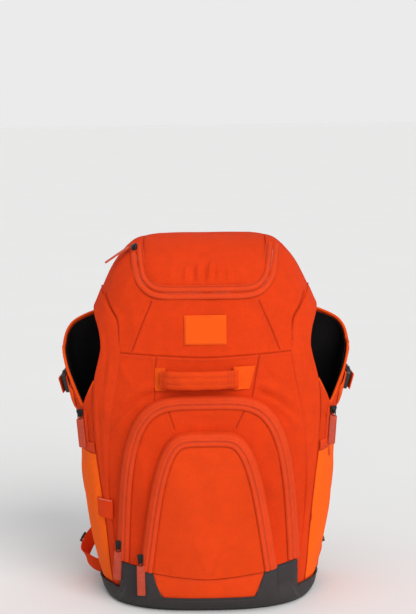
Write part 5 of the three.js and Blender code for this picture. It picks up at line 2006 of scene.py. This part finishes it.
@dataclass
class Base:
    """The coated tray under the bag and the bare orange plate in its notch."""

    wear: Wardrobe
    outer: ArchPocket
    inner: ArchPocket
    wall: float = 2.4
    side_rim: float = 21.0

    NOTCH_TOP = 76.0
    NOTCH_BOTTOM = 62.0
    PLATE_BOTTOM = 22.0
    CORNER_X = 122.0

    def front_y(self, x: Array, z: Array) -> Array:
        """Returns the depth of the tray's front."""
        low = np.maximum(z, 3.0)
        rise = np.zeros(np.shape(x))
        for arch in (self.outer, self.inner):
            k = np.clip((arch.half - np.abs(x)) / arch.welt, 0, 1)
            rise = rise + arch.depth * (1 - (1 - k) ** 2.6) ** (1 / 2.2) + arch.lay
        return FORM.front_y(x, low) - np.maximum(rise, self.wall + 0.7)

    def rim(self, x: Array, ahead: Array) -> Array:
        """Returns the height of the tray's rim at a place seen from the front."""
        at = np.abs(x)
        slope = (at - self.NOTCH_BOTTOM) / (self.NOTCH_TOP - self.NOTCH_BOTTOM)
        notch = lerp(self.PLATE_BOTTOM, ArchPocket.foot(at), np.clip(slope, 0, 1))
        corner = lerp(ArchPocket.foot(at), self.side_rim, smooth((at - self.CORNER_X) / 1.6))
        return np.where(ahead, np.where(at < self.NOTCH_TOP, notch, corner), self.side_rim) - 0.3

    def ring(self, a: Array, z: Array) -> Array:
        """Places round the tray, a from -1 at the back through 0 at the front to 1."""
        h, side = np.abs(a), np.sign(a + 1e-12)
        low = np.maximum(z, 3.0)
        start = 0.985 * ArchPocket.FOOT_HALF
        x0 = start * np.clip(h / 0.5, 0, 1)
        y0 = self.front_y(x0, z)
        mid, back = FORM.middle(low), FORM.read(Col.BACK, low)
        turn = lerp(0.85, -0.8, np.clip((h - 0.52) / 0.3, 0, 1))
        y1 = np.where(turn < 0, lerp(mid, back, -turn), lerp(mid, FORM.front_y(131.0, low), turn))
        grow = 1 + 3.8 / FORM.read(Col.HALF, low)
        x1, y1 = FORM.side_x(y1, low) * grow, y1 * grow
        k = np.clip((h - 0.82) / 0.18, 0, 1)
        x2 = lerp(FORM.side_x(lerp(mid, back, 0.8), low) * grow, 0, k)
        y2 = lerp(lerp(mid, back, 0.8) * grow, back + 3.1, smooth(k * 4.5))
        join = smooth((h - 0.5) / 0.02)
        x = np.where(h <= 0.5, x0, np.where(h <= 0.82, lerp(start, x1, join), x2))
        y = np.where(
            h <= 0.5, y0, np.where(h <= 0.82, lerp(self.front_y(np.full_like(x0, start), z), y1, join), y2)
        )
        return np.stack([side * x, y, z + 0 * x], axis=-1)

    def filled(self, ring: Array, z: float) -> Array:
        """Returns a ring of the tray with its hollow corners rounded out towards the foot."""
        mid, power = FORM.widest_y, 2.6
        wide = np.abs(ring[:, 0]) / np.abs(ring[:, 0]).max()
        deep = np.maximum(mid - ring[:, 1], 0) / (mid - ring[:, 1].min())
        reach = (wide**power + deep**power) ** (1 / power)
        top = lerp(34.0, 17.0, smooth((np.abs(ring[:, 0]) - 112) / 10))
        share = smooth((top - z) / (top - 2)) * (ring[:, 1] < mid)
        grow = np.where(reach < 1, 1 / np.maximum(reach, 0.6), 1.0) ** share
        out = ring.copy()
        out[:, 0] *= grow
        out[:, 1] = mid + (ring[:, 1] - mid) * grow
        return out

    def build(self) -> None:
        """Makes the tray, the plate and their stitches."""
        half = np.concatenate(
            [np.linspace(0, 0.5, 90), np.linspace(0.503, 0.82, 44), np.linspace(0.83, 1, 24)]
        )
        a_s = np.concatenate([-half[:0:-1], half])
        levels = np.concatenate(
            [[0.0, 0.0, 0.0], 9 * (1 - np.cos(np.linspace(0, math.pi / 2, 9))), np.linspace(10.5, 66, 40)]
        )
        shares = np.concatenate(
            [[0.02, 0.5, 0.8], 0.955 + 0.045 * np.sin(np.linspace(0, math.pi / 2, 9)), np.ones(40)]
        )
        rows = []
        for z, share in zip(levels, shares):
            ring = self.filled(self.ring(a_s, np.full(len(a_s), z)), z)
            ring[:, 0] *= share
            ring[:, 1] = FORM.widest_y + (ring[:, 1] - FORM.widest_y) * share
            rows.append(ring)
        skin = Cloth.rows(np.array(rows)).facing((0, FORM.widest_y, 30))

        def by_rim(spots: Array) -> Array:
            """Returns which places are near the rim at the front."""
            ahead = (spots[:, 1] < 0) & (np.abs(spots[:, 0]) < 128)
            return ahead & (np.abs(spots[:, 2] - self.rim(spots[:, 0], ahead)) < 5)

        skin.refine(by_rim, 2)
        at = skin.points
        ahead = (at[:, 1] < 0) & (np.abs(at[:, 0]) < 126)
        over = at[:, 2] - self.rim(at[:, 0], ahead)
        skin = skin.cut(over)
        at = skin.points
        ahead = (at[:, 1] < 0) & (np.abs(at[:, 0]) < 126)
        below_rim = self.rim(at[:, 0], ahead) - at[:, 2]
        soft = 0.5 * ripples(at, 60, 81) + 0.2 * ripples(at, 24, 83)
        bead = 0.5 * np.exp(-((below_rim / 1.6) ** 2)) - 0.5 * np.exp(-(((below_rim - 3.4) / 0.8) ** 2))
        calm = smooth((at[:, 2] - 2) / 8)
        skin.dress((), (), (soft + bead) * calm)
        piece = skin.solid("base_tray", 2.2, self.wear.base)
        ride(piece, "base_fabric", "base_boot")

        def plate(k: Array, v: Array) -> Array:
            """Places on the plate."""
            x = k * (lerp(self.NOTCH_BOTTOM, self.NOTCH_TOP, v) + 0.8)
            z = lerp(self.PLATE_BOTTOM - 2.0, ArchPocket.foot(x) - 0.3, v)
            return np.stack([x, self.front_y(x, z) + 0.9, z], axis=-1)

        cover = Cloth.grid(plate, np.linspace(-1, 1, 110), np.linspace(0, 1, 26)).facing((0, 0, 40))
        v = np.repeat(np.linspace(0, 1, 26), 110)
        # Painted shade along the plate's upper edge and just above its lower edge.
        cover.crease = np.maximum(np.exp(-(((1 - v) / 0.05) ** 2)), 0.6 * np.exp(-(((v - 0.07) / 0.05) ** 2)))
        cover.lift(0.5 * np.sin(math.pi * v) ** 0.5 + 0.25 * ripples(cover.points, 40, 87))
        cover_piece = cover.solid("base_insert", 1.8, self.wear.pocket)
        ride(cover_piece, "body_fabric", "base_plate")
        xs = np.linspace(-73, 73, 60)
        zs = ArchPocket.foot(xs) - 3.4
        lines = [np.column_stack([xs, self.front_y(xs, zs), zs])]
        rows_piece = Row("base_stitches", RowKind.BEADS, 3.0, 2.3, 0.55, self.wear.thread)
        ride(rows_piece.make(snapped(lines, cover_piece, 0.12)), "body_fabric")


# What is sewn on the front


@dataclass
class FrontTrim:
    """The blank patch, the padded grab handle with its webbing ends, and the side tab."""

    wear: Wardrobe

    PATCH = (28.5, 363.0, 403.0)
    HANDLE_Z = 317.0
    HANDLE = (-61.0, 43.0, 25.0, 9.5, 15.0)

    def laid(self, outline: Callable[[Array, Array], tuple[Array, Array]], out: float) -> Cloth:
        """A skin on the front between the corners that outline(u, v) gives."""

        def surface(u: Array, v: Array) -> Array:
            """Places on the front."""
            x, z = outline(u, v)
            return np.stack([x, FORM.front_y(x, z) - out, z], axis=-1)

        return Cloth.grid(surface, np.linspace(0, 1, 40), np.linspace(0, 1, 30)).facing((0, 60, 340))

    def build_patch(self) -> None:
        """Makes the blank woven patch with a stitched border."""
        half, low, top = self.PATCH
        cloth = self.laid(lambda u, v: (lerp(-half, half, u), lerp(low, top, v)), 1.6)
        cloth.lift(0.5 + 0.3 * ripples(cloth.points, 40, 91))
        u, v = np.tile(np.linspace(0, 1, 40), 30), np.repeat(np.linspace(0, 1, 30), 40)
        edge = np.minimum(np.minimum(u, 1 - u) * 2 * half, np.minimum(v, 1 - v) * (top - low))
        cloth.points[:, 1] += 0.9 * np.exp(-((edge / 0.9) ** 2))
        piece = cloth.solid("blank_patch", 1.2, self.wear.patch)
        ride(piece, "bright_fabric", "label_patch")
        x, z0, z1 = half - 1.6, low + 1.6, top - 1.6
        loop = [(-x, z0), (x, z0), (x, z1), (-x, z1), (-x, z0)]
        line = along_line(np.array(loop), 2.0)
        line = np.column_stack([line[:, 0], FORM.front_y(line[:, 0], line[:, 1]) - 2, line[:, 1]])
        rows = Row("patch_stitches", RowKind.BEADS, 1.9, 1.5, 0.45, self.wear.thread)
        ride(rows.make(snapped([line], piece, 0.1)), "bright_fabric")

    def build_anchors(self) -> None:
        """Makes the webbing ends that the handle is sewn into."""
        z = self.HANDLE_Z
        for name, corners in (
            ("left", ((-69.5, -55.0), (-69.5, -55.0), z - 16, z + 15)),
            ("right", ((37.0, 59.0), (37.0, 67.5), z - 15, z + 16)),
        ):
            (a0, b0), (a1, b1), low, top = corners

            def outline(u: Array, v: Array) -> tuple[Array, Array]:
                """Returns the corners' blend."""
                return lerp(lerp(a0, a1, v), lerp(b0, b1, v), u), lerp(low, top, v)

            cloth = self.laid(outline, 1.6)
            u = np.tile(np.linspace(0, 1, 40), 30)
            lift = 1.4 * np.sin(math.pi * u) + 0.3 * ripples(cloth.points, 24, 97)
            if name == "right":
                lift = lift + 5.0 * smooth(1 - u * 1.6)
            cloth.lift(lift)
            piece = cloth.solid("handle_web_" + name, 1.8, self.wear.webbing)
            ride(piece, "webbing", "handle_anchor_" + name)

    def build_handle(self) -> None:
        """Makes the padded handle with its sewn ends and its middle row of stitches."""
        left, right, tall, thick, rise = self.HANDLE
        ks = np.linspace(0, 1, 90)
        xs = lerp(left - 1.0, right + 0.5, ks)
        lift = rise * np.sin(math.pi * np.clip(ks, 0.02, 0.98)) ** 0.5
        path = np.column_stack([xs, FORM.front_y(xs, self.HANDLE_Z) - 4.6 - lift, np.full(90, self.HANDLE_Z)])

        def section(k: float) -> Array:
            """Returns the handle's section."""
            near = min(k, 1 - k)
            fat = 0.5 + 0.5 * float(smooth(near * 9))
            ring = oval(tall * (0.93 + 0.07 * fat), thick * fat, 2.7, 44)
            groove = sum(np.exp(-(((ring[:, 0] - at) / 1.1) ** 2)) for at in (-4.4, 4.4))
            crease = groove * (0.6 + 0.5 * fat)
            ring[:, 1] -= np.sign(ring[:, 1]) * crease * min(1.0, fat)
            return ring

        cloth = sweep(path, section, (0, 0, 1))
        cloth.lift(0.35 * ripples(cloth.points, 22, 101, (1.2, 1, 1)))
        at = cloth.points
        # Painted shade in the dents of the box stitching at both ends.
        for x in (left + 4, left + 8, right - 5, right - 9, right - 13):
            cloth.crease = np.maximum(cloth.crease, 0.5 * np.exp(-(((at[:, 0] - x) / 0.8) ** 2)))
        piece = cloth.solid("padded_handle", 0, self.wear.pocket)
        ride(piece, "body_fabric", "grab_handle")
        z, y = self.HANDLE_Z, path[:, 1].min() - 20
        lines = []
        for x in (left + 4, left + 8, right - 5, right - 9, right - 13):
            zs = np.linspace(z - tall / 2 + 2, z + tall / 2 - 2, 12)
            lines.append(np.column_stack([np.full(12, x), np.full(12, FORM.front_y(x, z) - 16), zs]))
        xs = np.linspace(left + 9, right - 14, 40)
        for dz in (-4.4, 4.4):
            lines.append(np.column_stack([xs, np.full(40, y + 22), np.full(40, z + dz)]))
        rows = Row("handle_stitches", RowKind.BEADS, 2.4, 1.9, 0.6, self.wear.dark_thread)
        ride(rows.make(snapped(lines, piece, 0.1)), "body_fabric")

    def build_tab(self) -> None:
        """Makes the blank folded tab on the left seam."""
        cloth = self.laid(lambda u, v: (lerp(-153.5, -131.5, u), lerp(119, 146, v) - 1.5 * u), 3.2)
        u, v = np.tile(np.linspace(0, 1, 40), 30), np.repeat(np.linspace(0, 1, 30), 40)
        cloth.lift(0.8 + 1.6 * np.sin(math.pi * u) * (0.4 + 0.6 * (1 - v)))
        piece = cloth.solid("side_fold_tab", 1.5, self.wear.strap_web)
        ride(piece, "bright_fabric", "side_tab")
        line = np.column_stack([np.linspace(-151, -134, 12), np.zeros(12), np.full(12, 143.5)])
        line[:, 1] = FORM.front_y(line[:, 0], line[:, 2]) - 5
        rows = Row("tab_stitches", RowKind.BEADS, 2.2, 1.9, 0.6, MouldedFinish("thread_pale", (0.8, 0.55, 0.45), 0.6).make())
        ride(rows.make(snapped([line], piece, 0.1)), "bright_fabric")

    def build(self) -> None:
        """Makes all the trim."""
        self.build_patch()
        self.build_anchors()
        self.build_handle()
        self.build_tab()


# The back


@dataclass
class Harness:
    """The padded back, the shoulder straps and their webbing."""

    wear: Wardrobe

    PAD = (92.0, 50.0, 448.0, 12.0)
    STRAP = (
        # x, y and z as shares of 98 mm, 36 mm and the bag's height
        (0.42, 0.0, 0.948),
        (0.44, 0.42, 0.915),
        (0.47, 0.72, 0.872),
        (0.53, 0.92, 0.81),
        (0.62, 1.0, 0.71),
        (0.72, 1.0, 0.61),
        (0.83, 0.96, 0.51),
        (0.93, 0.8, 0.42),
        (1.0, 0.62, 0.355),
    )
    WEBS = {
        "left": (
            (99.0, 119.0, 172.0), (112.1, 113.0, 140.0), (134.0, 107.0, 102.0), (158.1, 99.0, 70.0),
            (176.1, 90.0, 48.0), (181.1, 78.0, 32.0), (170.0, 66.0, 22.0), (153.0, 56.0, 17.0),
        ),
        "right": (
            (99.0, 119.0, 172.0), (112.1, 113.0, 140.0), (130.1, 107.0, 102.0), (148.1, 99.0, 70.0),
            (158.1, 90.0, 46.0), (161.0, 78.0, 30.0), (160.1, 66.9, 22.0), (153.0, 56.0, 17.0),
        ),
    }

    def build_back(self) -> None:
        """Makes the padded back with its sewn channels."""
        half, low, top, thick = self.PAD
        y0 = FORM.back + 0.7
        u, v = np.meshgrid(np.linspace(-1, 1, 130), np.linspace(-1, 1, 230))
        power = 5.0
        reach = (np.abs(u) ** power + np.abs(v) ** power) ** (1 / power)
        square = np.maximum(np.abs(u), np.abs(v))
        k = np.where(reach > 1e-6, square / np.maximum(reach, 1e-6), 1.0)
        x, z = u * k * half, (low + top) / 2 + v * k * (top - low) / 2
        near = np.minimum(half * (1 - square), (top - low) / 2 * (1 - square))
        swell = (thick - 1.2) * (1 - (1 - np.clip(near / 16, 0, 1)) ** 2.4) ** (1 / 2)
        mark = np.zeros(u.shape)
        dip = 7.0 * np.exp(-((x / 4.5) ** 2)) * smooth(near / 24)
        for z0 in (150.0, 250.0, 350.0):
            bow = z0 + 10 * (np.abs(x) / half) ** 2
            gap = np.exp(-(((z - bow) / 2.6) ** 2)) * smooth(near / 10) * (1 - np.exp(-((x / 10) ** 2)))
            dip = np.maximum(dip, 5.0 * gap)
            mark = np.maximum(mark, np.exp(-(((z - bow) / 1.2) ** 2)) * (gap > 0.2))
        y = y0 + 1.2 + swell - dip
        places = np.stack([x, y, z], axis=-1)
        cloth = Cloth.rows(places).facing((0, 0, 250))
        # Painted shade in the sewn channels.
        cloth.crease = mark.ravel()
        cloth.lift(0.4 * ripples(cloth.points, 44, 111) * smooth(near.ravel() / 10))
        cloth.points[:, 1] = np.maximum(cloth.points[:, 1], y0 + 0.2)
        base = Cloth.rows(np.stack([x, np.full(x.shape, y0), z], axis=-1)).facing((0, 200, 250))
        n = len(cloth.points)
        edge = cloth.rim()
        a, b = edge[:, 0], edge[:, 1]
        faces = [
            cloth.faces, base.faces + n, np.column_stack([b, a, a + n]), np.column_stack([b, a + n, b + n])
        ]
        points = np.concatenate([cloth.points, base.points])
        flat = np.concatenate([cloth.flat, base.flat])
        crease = np.concatenate([cloth.crease, base.crease])
        piece = mesh_piece("back_pad", points, np.concatenate(faces), flat, crease, self.wear.spacer)
        ride(piece, "padding", "back_panel")
        a = np.linspace(0, 2 * math.pi, 400)
        height = (low + top) / 2 + (top - low) / 2 * bent(np.sin(a), power)
        ring = np.column_stack([half * bent(np.cos(a), power), np.full(400, y0 + 1.8), height])
        binding = tube("back_binding", along_line(ring, 3.0), 4.2, self.wear.edging, 3.4)
        ride(binding, "padding")

    def strap_path(self, side: int, step: float = 3.0) -> Array:
        """Returns the middle line of a shoulder strap."""
        line = [(side * x * 98.0, 98.6 + y * 36.0, z * FORM.height) for x, y, z in self.STRAP]
        return rounded_line(line, step)

    def build_strap(self, side: int, name: str) -> None:
        """Makes a shoulder strap, its binding and webbing."""
        path = self.strap_path(side)
        width, thick = 66.0, 10.0

        def section(k: float) -> Array:
            """Returns the pad's section."""
            end = min(1.0, 0.55 + 3.2 * min(k, 1 - k))
            wide = width * math.sqrt(end)
            ring = oval(wide, thick * end, 2.6, 60)
            edge = np.abs(ring[:, 0]) / (wide / 2)
            pinch = np.exp(-(((edge - 0.84) / 0.05) ** 2))
            ring[:, 1] *= 1 - 0.35 * pinch
            return ring

        cloth = sweep(path, section, (1, 0, 0))
        cloth.lift(0.35 * ripples(cloth.points, 40, 121 + side))
        piece = cloth.solid("shoulder_pad_" + name, 0, self.wear.spacer)
        ride(piece, "padding", "shoulder_strap_" + name)
        count = len(path) - 1
        lines = []
        for s in (-1, 1):
            edge = []
            for i, p in enumerate(path):
                k = i / count
                along = unit(path[min(i + 1, count)] - path[max(i - 1, 0)])
                w = np.array([1.0, 0, 0])
                w = unit(w - along * (w @ along))
                end = min(1.0, 0.55 + 3.2 * min(k, 1 - k))
                edge.append(p + w * s * (width * math.sqrt(end) / 2 - 0.6))
            lines.append(np.array(edge))
        loop = np.concatenate([lines[0], lines[1][::-1], lines[0][:1]])
        binding = tube("shoulder_binding_" + name, along_line(loop, 3.0), 4.6, self.wear.edging, 3.6)
        ride(binding, "padding")
        outer = []
        for i, p in enumerate(path):
            along = unit(path[min(i + 1, count)] - path[max(i - 1, 0)])
            out = np.cross([1.0, 0, 0], along)
            out = out if out[1] > 0 else -out
            k = i / count
            end = min(1.0, 0.55 + 3.2 * min(k, 1 - k))
            outer.append(p + unit(out) * (thick * end / 2 + 0.7))
        ring = oval(24.0, 1.6, 6, 16)
        web = sweep(
            np.array(outer)[8:-3], lambda _: ring, (1, 0, 0)
        ).solid("shoulder_web_" + name, 0, self.wear.edging)
        ride(web, "padding")

    def build_web(self, side: int, name: str) -> None:
        """Makes the webbing from a strap's foot to the base, and its ladder lock."""
        points = rounded_line([(side * x, y, z) for x, y, z in self.WEBS[name]], 3.0)
        turn = ((0, 0.94, 0.1, 0.34), (0.3, 0.9, 0.05, 0.45), (0.6, 0.72, 0.0, 0.7), (1, 0.05, -0.1, 1))
        wide = lambda k: tuple(float(column(turn, i, k)) * (side if i == 1 else 1) for i in (1, 2, 3))
        ring = oval(20.0, 1.8, 6, 18)
        web = sweep(points, lambda _: ring, wide).solid("lower_web_" + name, 0, self.wear.strap_web)
        ride(web, "webbing", "strap_web_" + name)
        seat = Seat.of("ladder_lock_" + name)
        if seat.size[0] < seat.size[1]:
            seat = Seat(seat.middle, seat.wide, seat.down, seat.out, seat.size[[1, 0, 2]])
        w, tall, _ = seat.size
        parts = []
        for s in (-1, 1):
            rail = [
                (s * (w / 2 - 1.4), -tall / 2, 0), (s * (w / 2 - 1.2), 0, 0.6), (s * (w / 2 - 1.4), tall / 2, 0)
            ]
            parts.append(seat.bar(f"lock_rail{s}_{name}", rounded_line(rail, 1.5), oval(2.8, 3.4, 3, 12), (1, 0, 0), self.wear.black))
        for y, out in ((-tall / 2 + 1.4, 0.2), (0, -0.4), (tall / 2 - 1.4, 0.9)):
            bar = [(-w / 2 + 1.4, y, out), (0, y, out), (w / 2 - 1.4, y, out)]
            parts.append(
                seat.bar(f"lock_bar{y:.0f}_{name}", bar, oval(2.6, 2.8, 2.6, 12), (0, 0, 1), self.wear.black)
            )
        ride(joined("lock_" + name, parts), "black_plastic", "ladder_lock_" + name)

    def build(self) -> None:
        """Makes the back and both straps."""
        self.build_back()
        for name, side in (("left", -1), ("right", 1)):
            self.build_strap(side, name)
            self.build_web(side, name)


# Floor, light and camera


@dataclass
class Studio:
    """A pale floor, soft lights and the camera, in metres."""

    backdrop: float = 0.83
    ceiling: float = 0.42

    distance: float = 2.3
    pitch: float = 7.0
    roll: float = 0.8
    aim: tuple[float, float, float] = (0.004, -0.110, 0.417)
    focal_px: float = 1716.4
    image_height: float = 614.0
    sensor: float = 24.0
    floor_radius: float = 40.0

    def sky(self) -> bpy.types.World:
        """Returns the pale surroundings, dimmer overhead."""
        world = bpy.data.worlds.new("studio")
        world.use_nodes = True
        tree = world.node_tree
        place = tree.nodes.new("ShaderNodeTexCoord")
        axes = tree.nodes.new("ShaderNodeSeparateXYZ")
        tree.links.new(place.outputs["Generated"], axes.inputs[0])
        fade = tree.nodes.new("ShaderNodeMapRange")
        for title, value in (
            ("From Min", 0.2), ("From Max", 0.6), ("To Min", self.backdrop), ("To Max", self.ceiling)
        ):
            fade.inputs[title].default_value = value
        tree.links.new(axes.outputs["Z"], fade.inputs["Value"])
        tree.links.new(fade.outputs["Result"], tree.nodes["Background"].inputs["Color"])
        return world

    def build(self) -> None:
        """Makes the floor, the lights and the camera."""
        scene = bpy.context.scene
        scene.view_settings.view_transform = "Standard"
        scene.view_settings.look = "None"
        n = Nodes("floor_paper")
        place = n.add("ShaderNodeTexCoord").outputs["Object"]
        tone = n.shades(n.noise(place, 3.0), ((0.3, (0.745, 0.745, 0.745)), (0.7, (0.755, 0.755, 0.755))))
        n.link(tone, n.shader.inputs["Base Color"])
        n.shader.inputs["Roughness"].default_value = 0.9
        n.shader.inputs["Specular IOR Level"].default_value = 0.1
        mesh = bpy.data.meshes.new("floor")
        bm = bmesh.new()
        bmesh.ops.create_circle(bm, cap_ends=True, radius=self.floor_radius, segments=96)
        bm.to_mesh(mesh)
        bm.free()
        mesh.materials.append(n.material)
        floor = bpy.data.objects.new("floor", mesh)
        scene.collection.objects.link(floor)
        scene.world = self.sky()
        for name, azimuth, elevation, power, spread, tint in (
            ("key", 30.0, 30.0, 2.3, 40.0, (1.0, 0.99, 0.975)),
            ("top", -20.0, 78.0, 0.75, 60.0, (0.98, 0.99, 1.0)),
        ):
            data = bpy.data.lights.new(name, "SUN")
            data.energy = power
            data.color = tint
            data.angle = math.radians(spread)
            lamp = bpy.data.objects.new(name, data)
            turn, rise = math.radians(azimuth), math.radians(elevation)
            source = Vector(
                (math.sin(turn) * math.cos(rise), -math.cos(turn) * math.cos(rise), math.sin(rise))
            )
            lamp.rotation_euler = (-source).to_track_quat("-Z", "Y").to_euler()
            scene.collection.objects.link(lamp)
        data = bpy.data.cameras.new("camera")
        data.sensor_fit = "VERTICAL"
        data.sensor_height = self.sensor
        data.lens = self.focal_px * self.sensor / self.image_height
        camera = bpy.data.objects.new("camera", data)
        tilt = math.radians(self.pitch)
        x, y, z = self.aim
        eye = (x, y - self.distance * math.cos(tilt), z + self.distance * math.sin(tilt))
        turn = Matrix.Rotation(math.radians(90) - tilt, 4, "X") @ Matrix.Rotation(
            -math.radians(self.roll), 4, "Z"
        )
        camera.matrix_world = Matrix.Translation(eye) @ turn
        scene.collection.objects.link(camera)
        scene.camera = camera


def main() -> None:
    """Builds the bag's looks class by class."""
    logging.basicConfig(level=logging.INFO, format="%(message)s")
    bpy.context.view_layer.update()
    wear = Wardrobe()
    Studio().build()
    Compartment(wear).build()
    LidPanel(wear).build()
    outer = ArchPocket(wear, "outer", 127.0, 295.0, 17.0, 0.08, 4.0, wear.shell)
    inner = ArchPocket(wear, "inner", 94.0, 248.0, 17.0, 0.28, 4.5, wear.pocket, outer)
    outer.build(
        [((-53.2, 281.0), (-44.1, 252.0)), ((53.5, 281.0), (39.5, 252.0))],
        [
            (((-98, 236), (-86, 180), (-92, 120)), 1.2, 9.0),
            (((98, 236), (88, 180), (96, 120)), 1.1, 9.0),
            (((-30, 268), (0, 262), (28, 268)), -1.0, 6.0),
        ],
    )
    inner.build(
        (),
        [
            (((-40, 216), (-14, 190), (0, 150)), -1.3, 11.0),
            (((42, 214), (20, 180), (14, 130)), 1.3, 12.0),
            (((-60, 110), (-20, 92), (20, 96)), 0.9, 12.0),
            (((-10, 222), (2, 214), (14, 222)), 1.1, 8.0),
        ],
    )
    for name, side in (("left", -1), ("right", 1)):
        SidePanel(wear, side, name).build()
        BatSleeve(wear, side, name).build()
    Base(wear, outer, inner).build()
    FrontTrim(wear).build()
    Harness(wear).build()


if __name__ == "__main__":
    main()
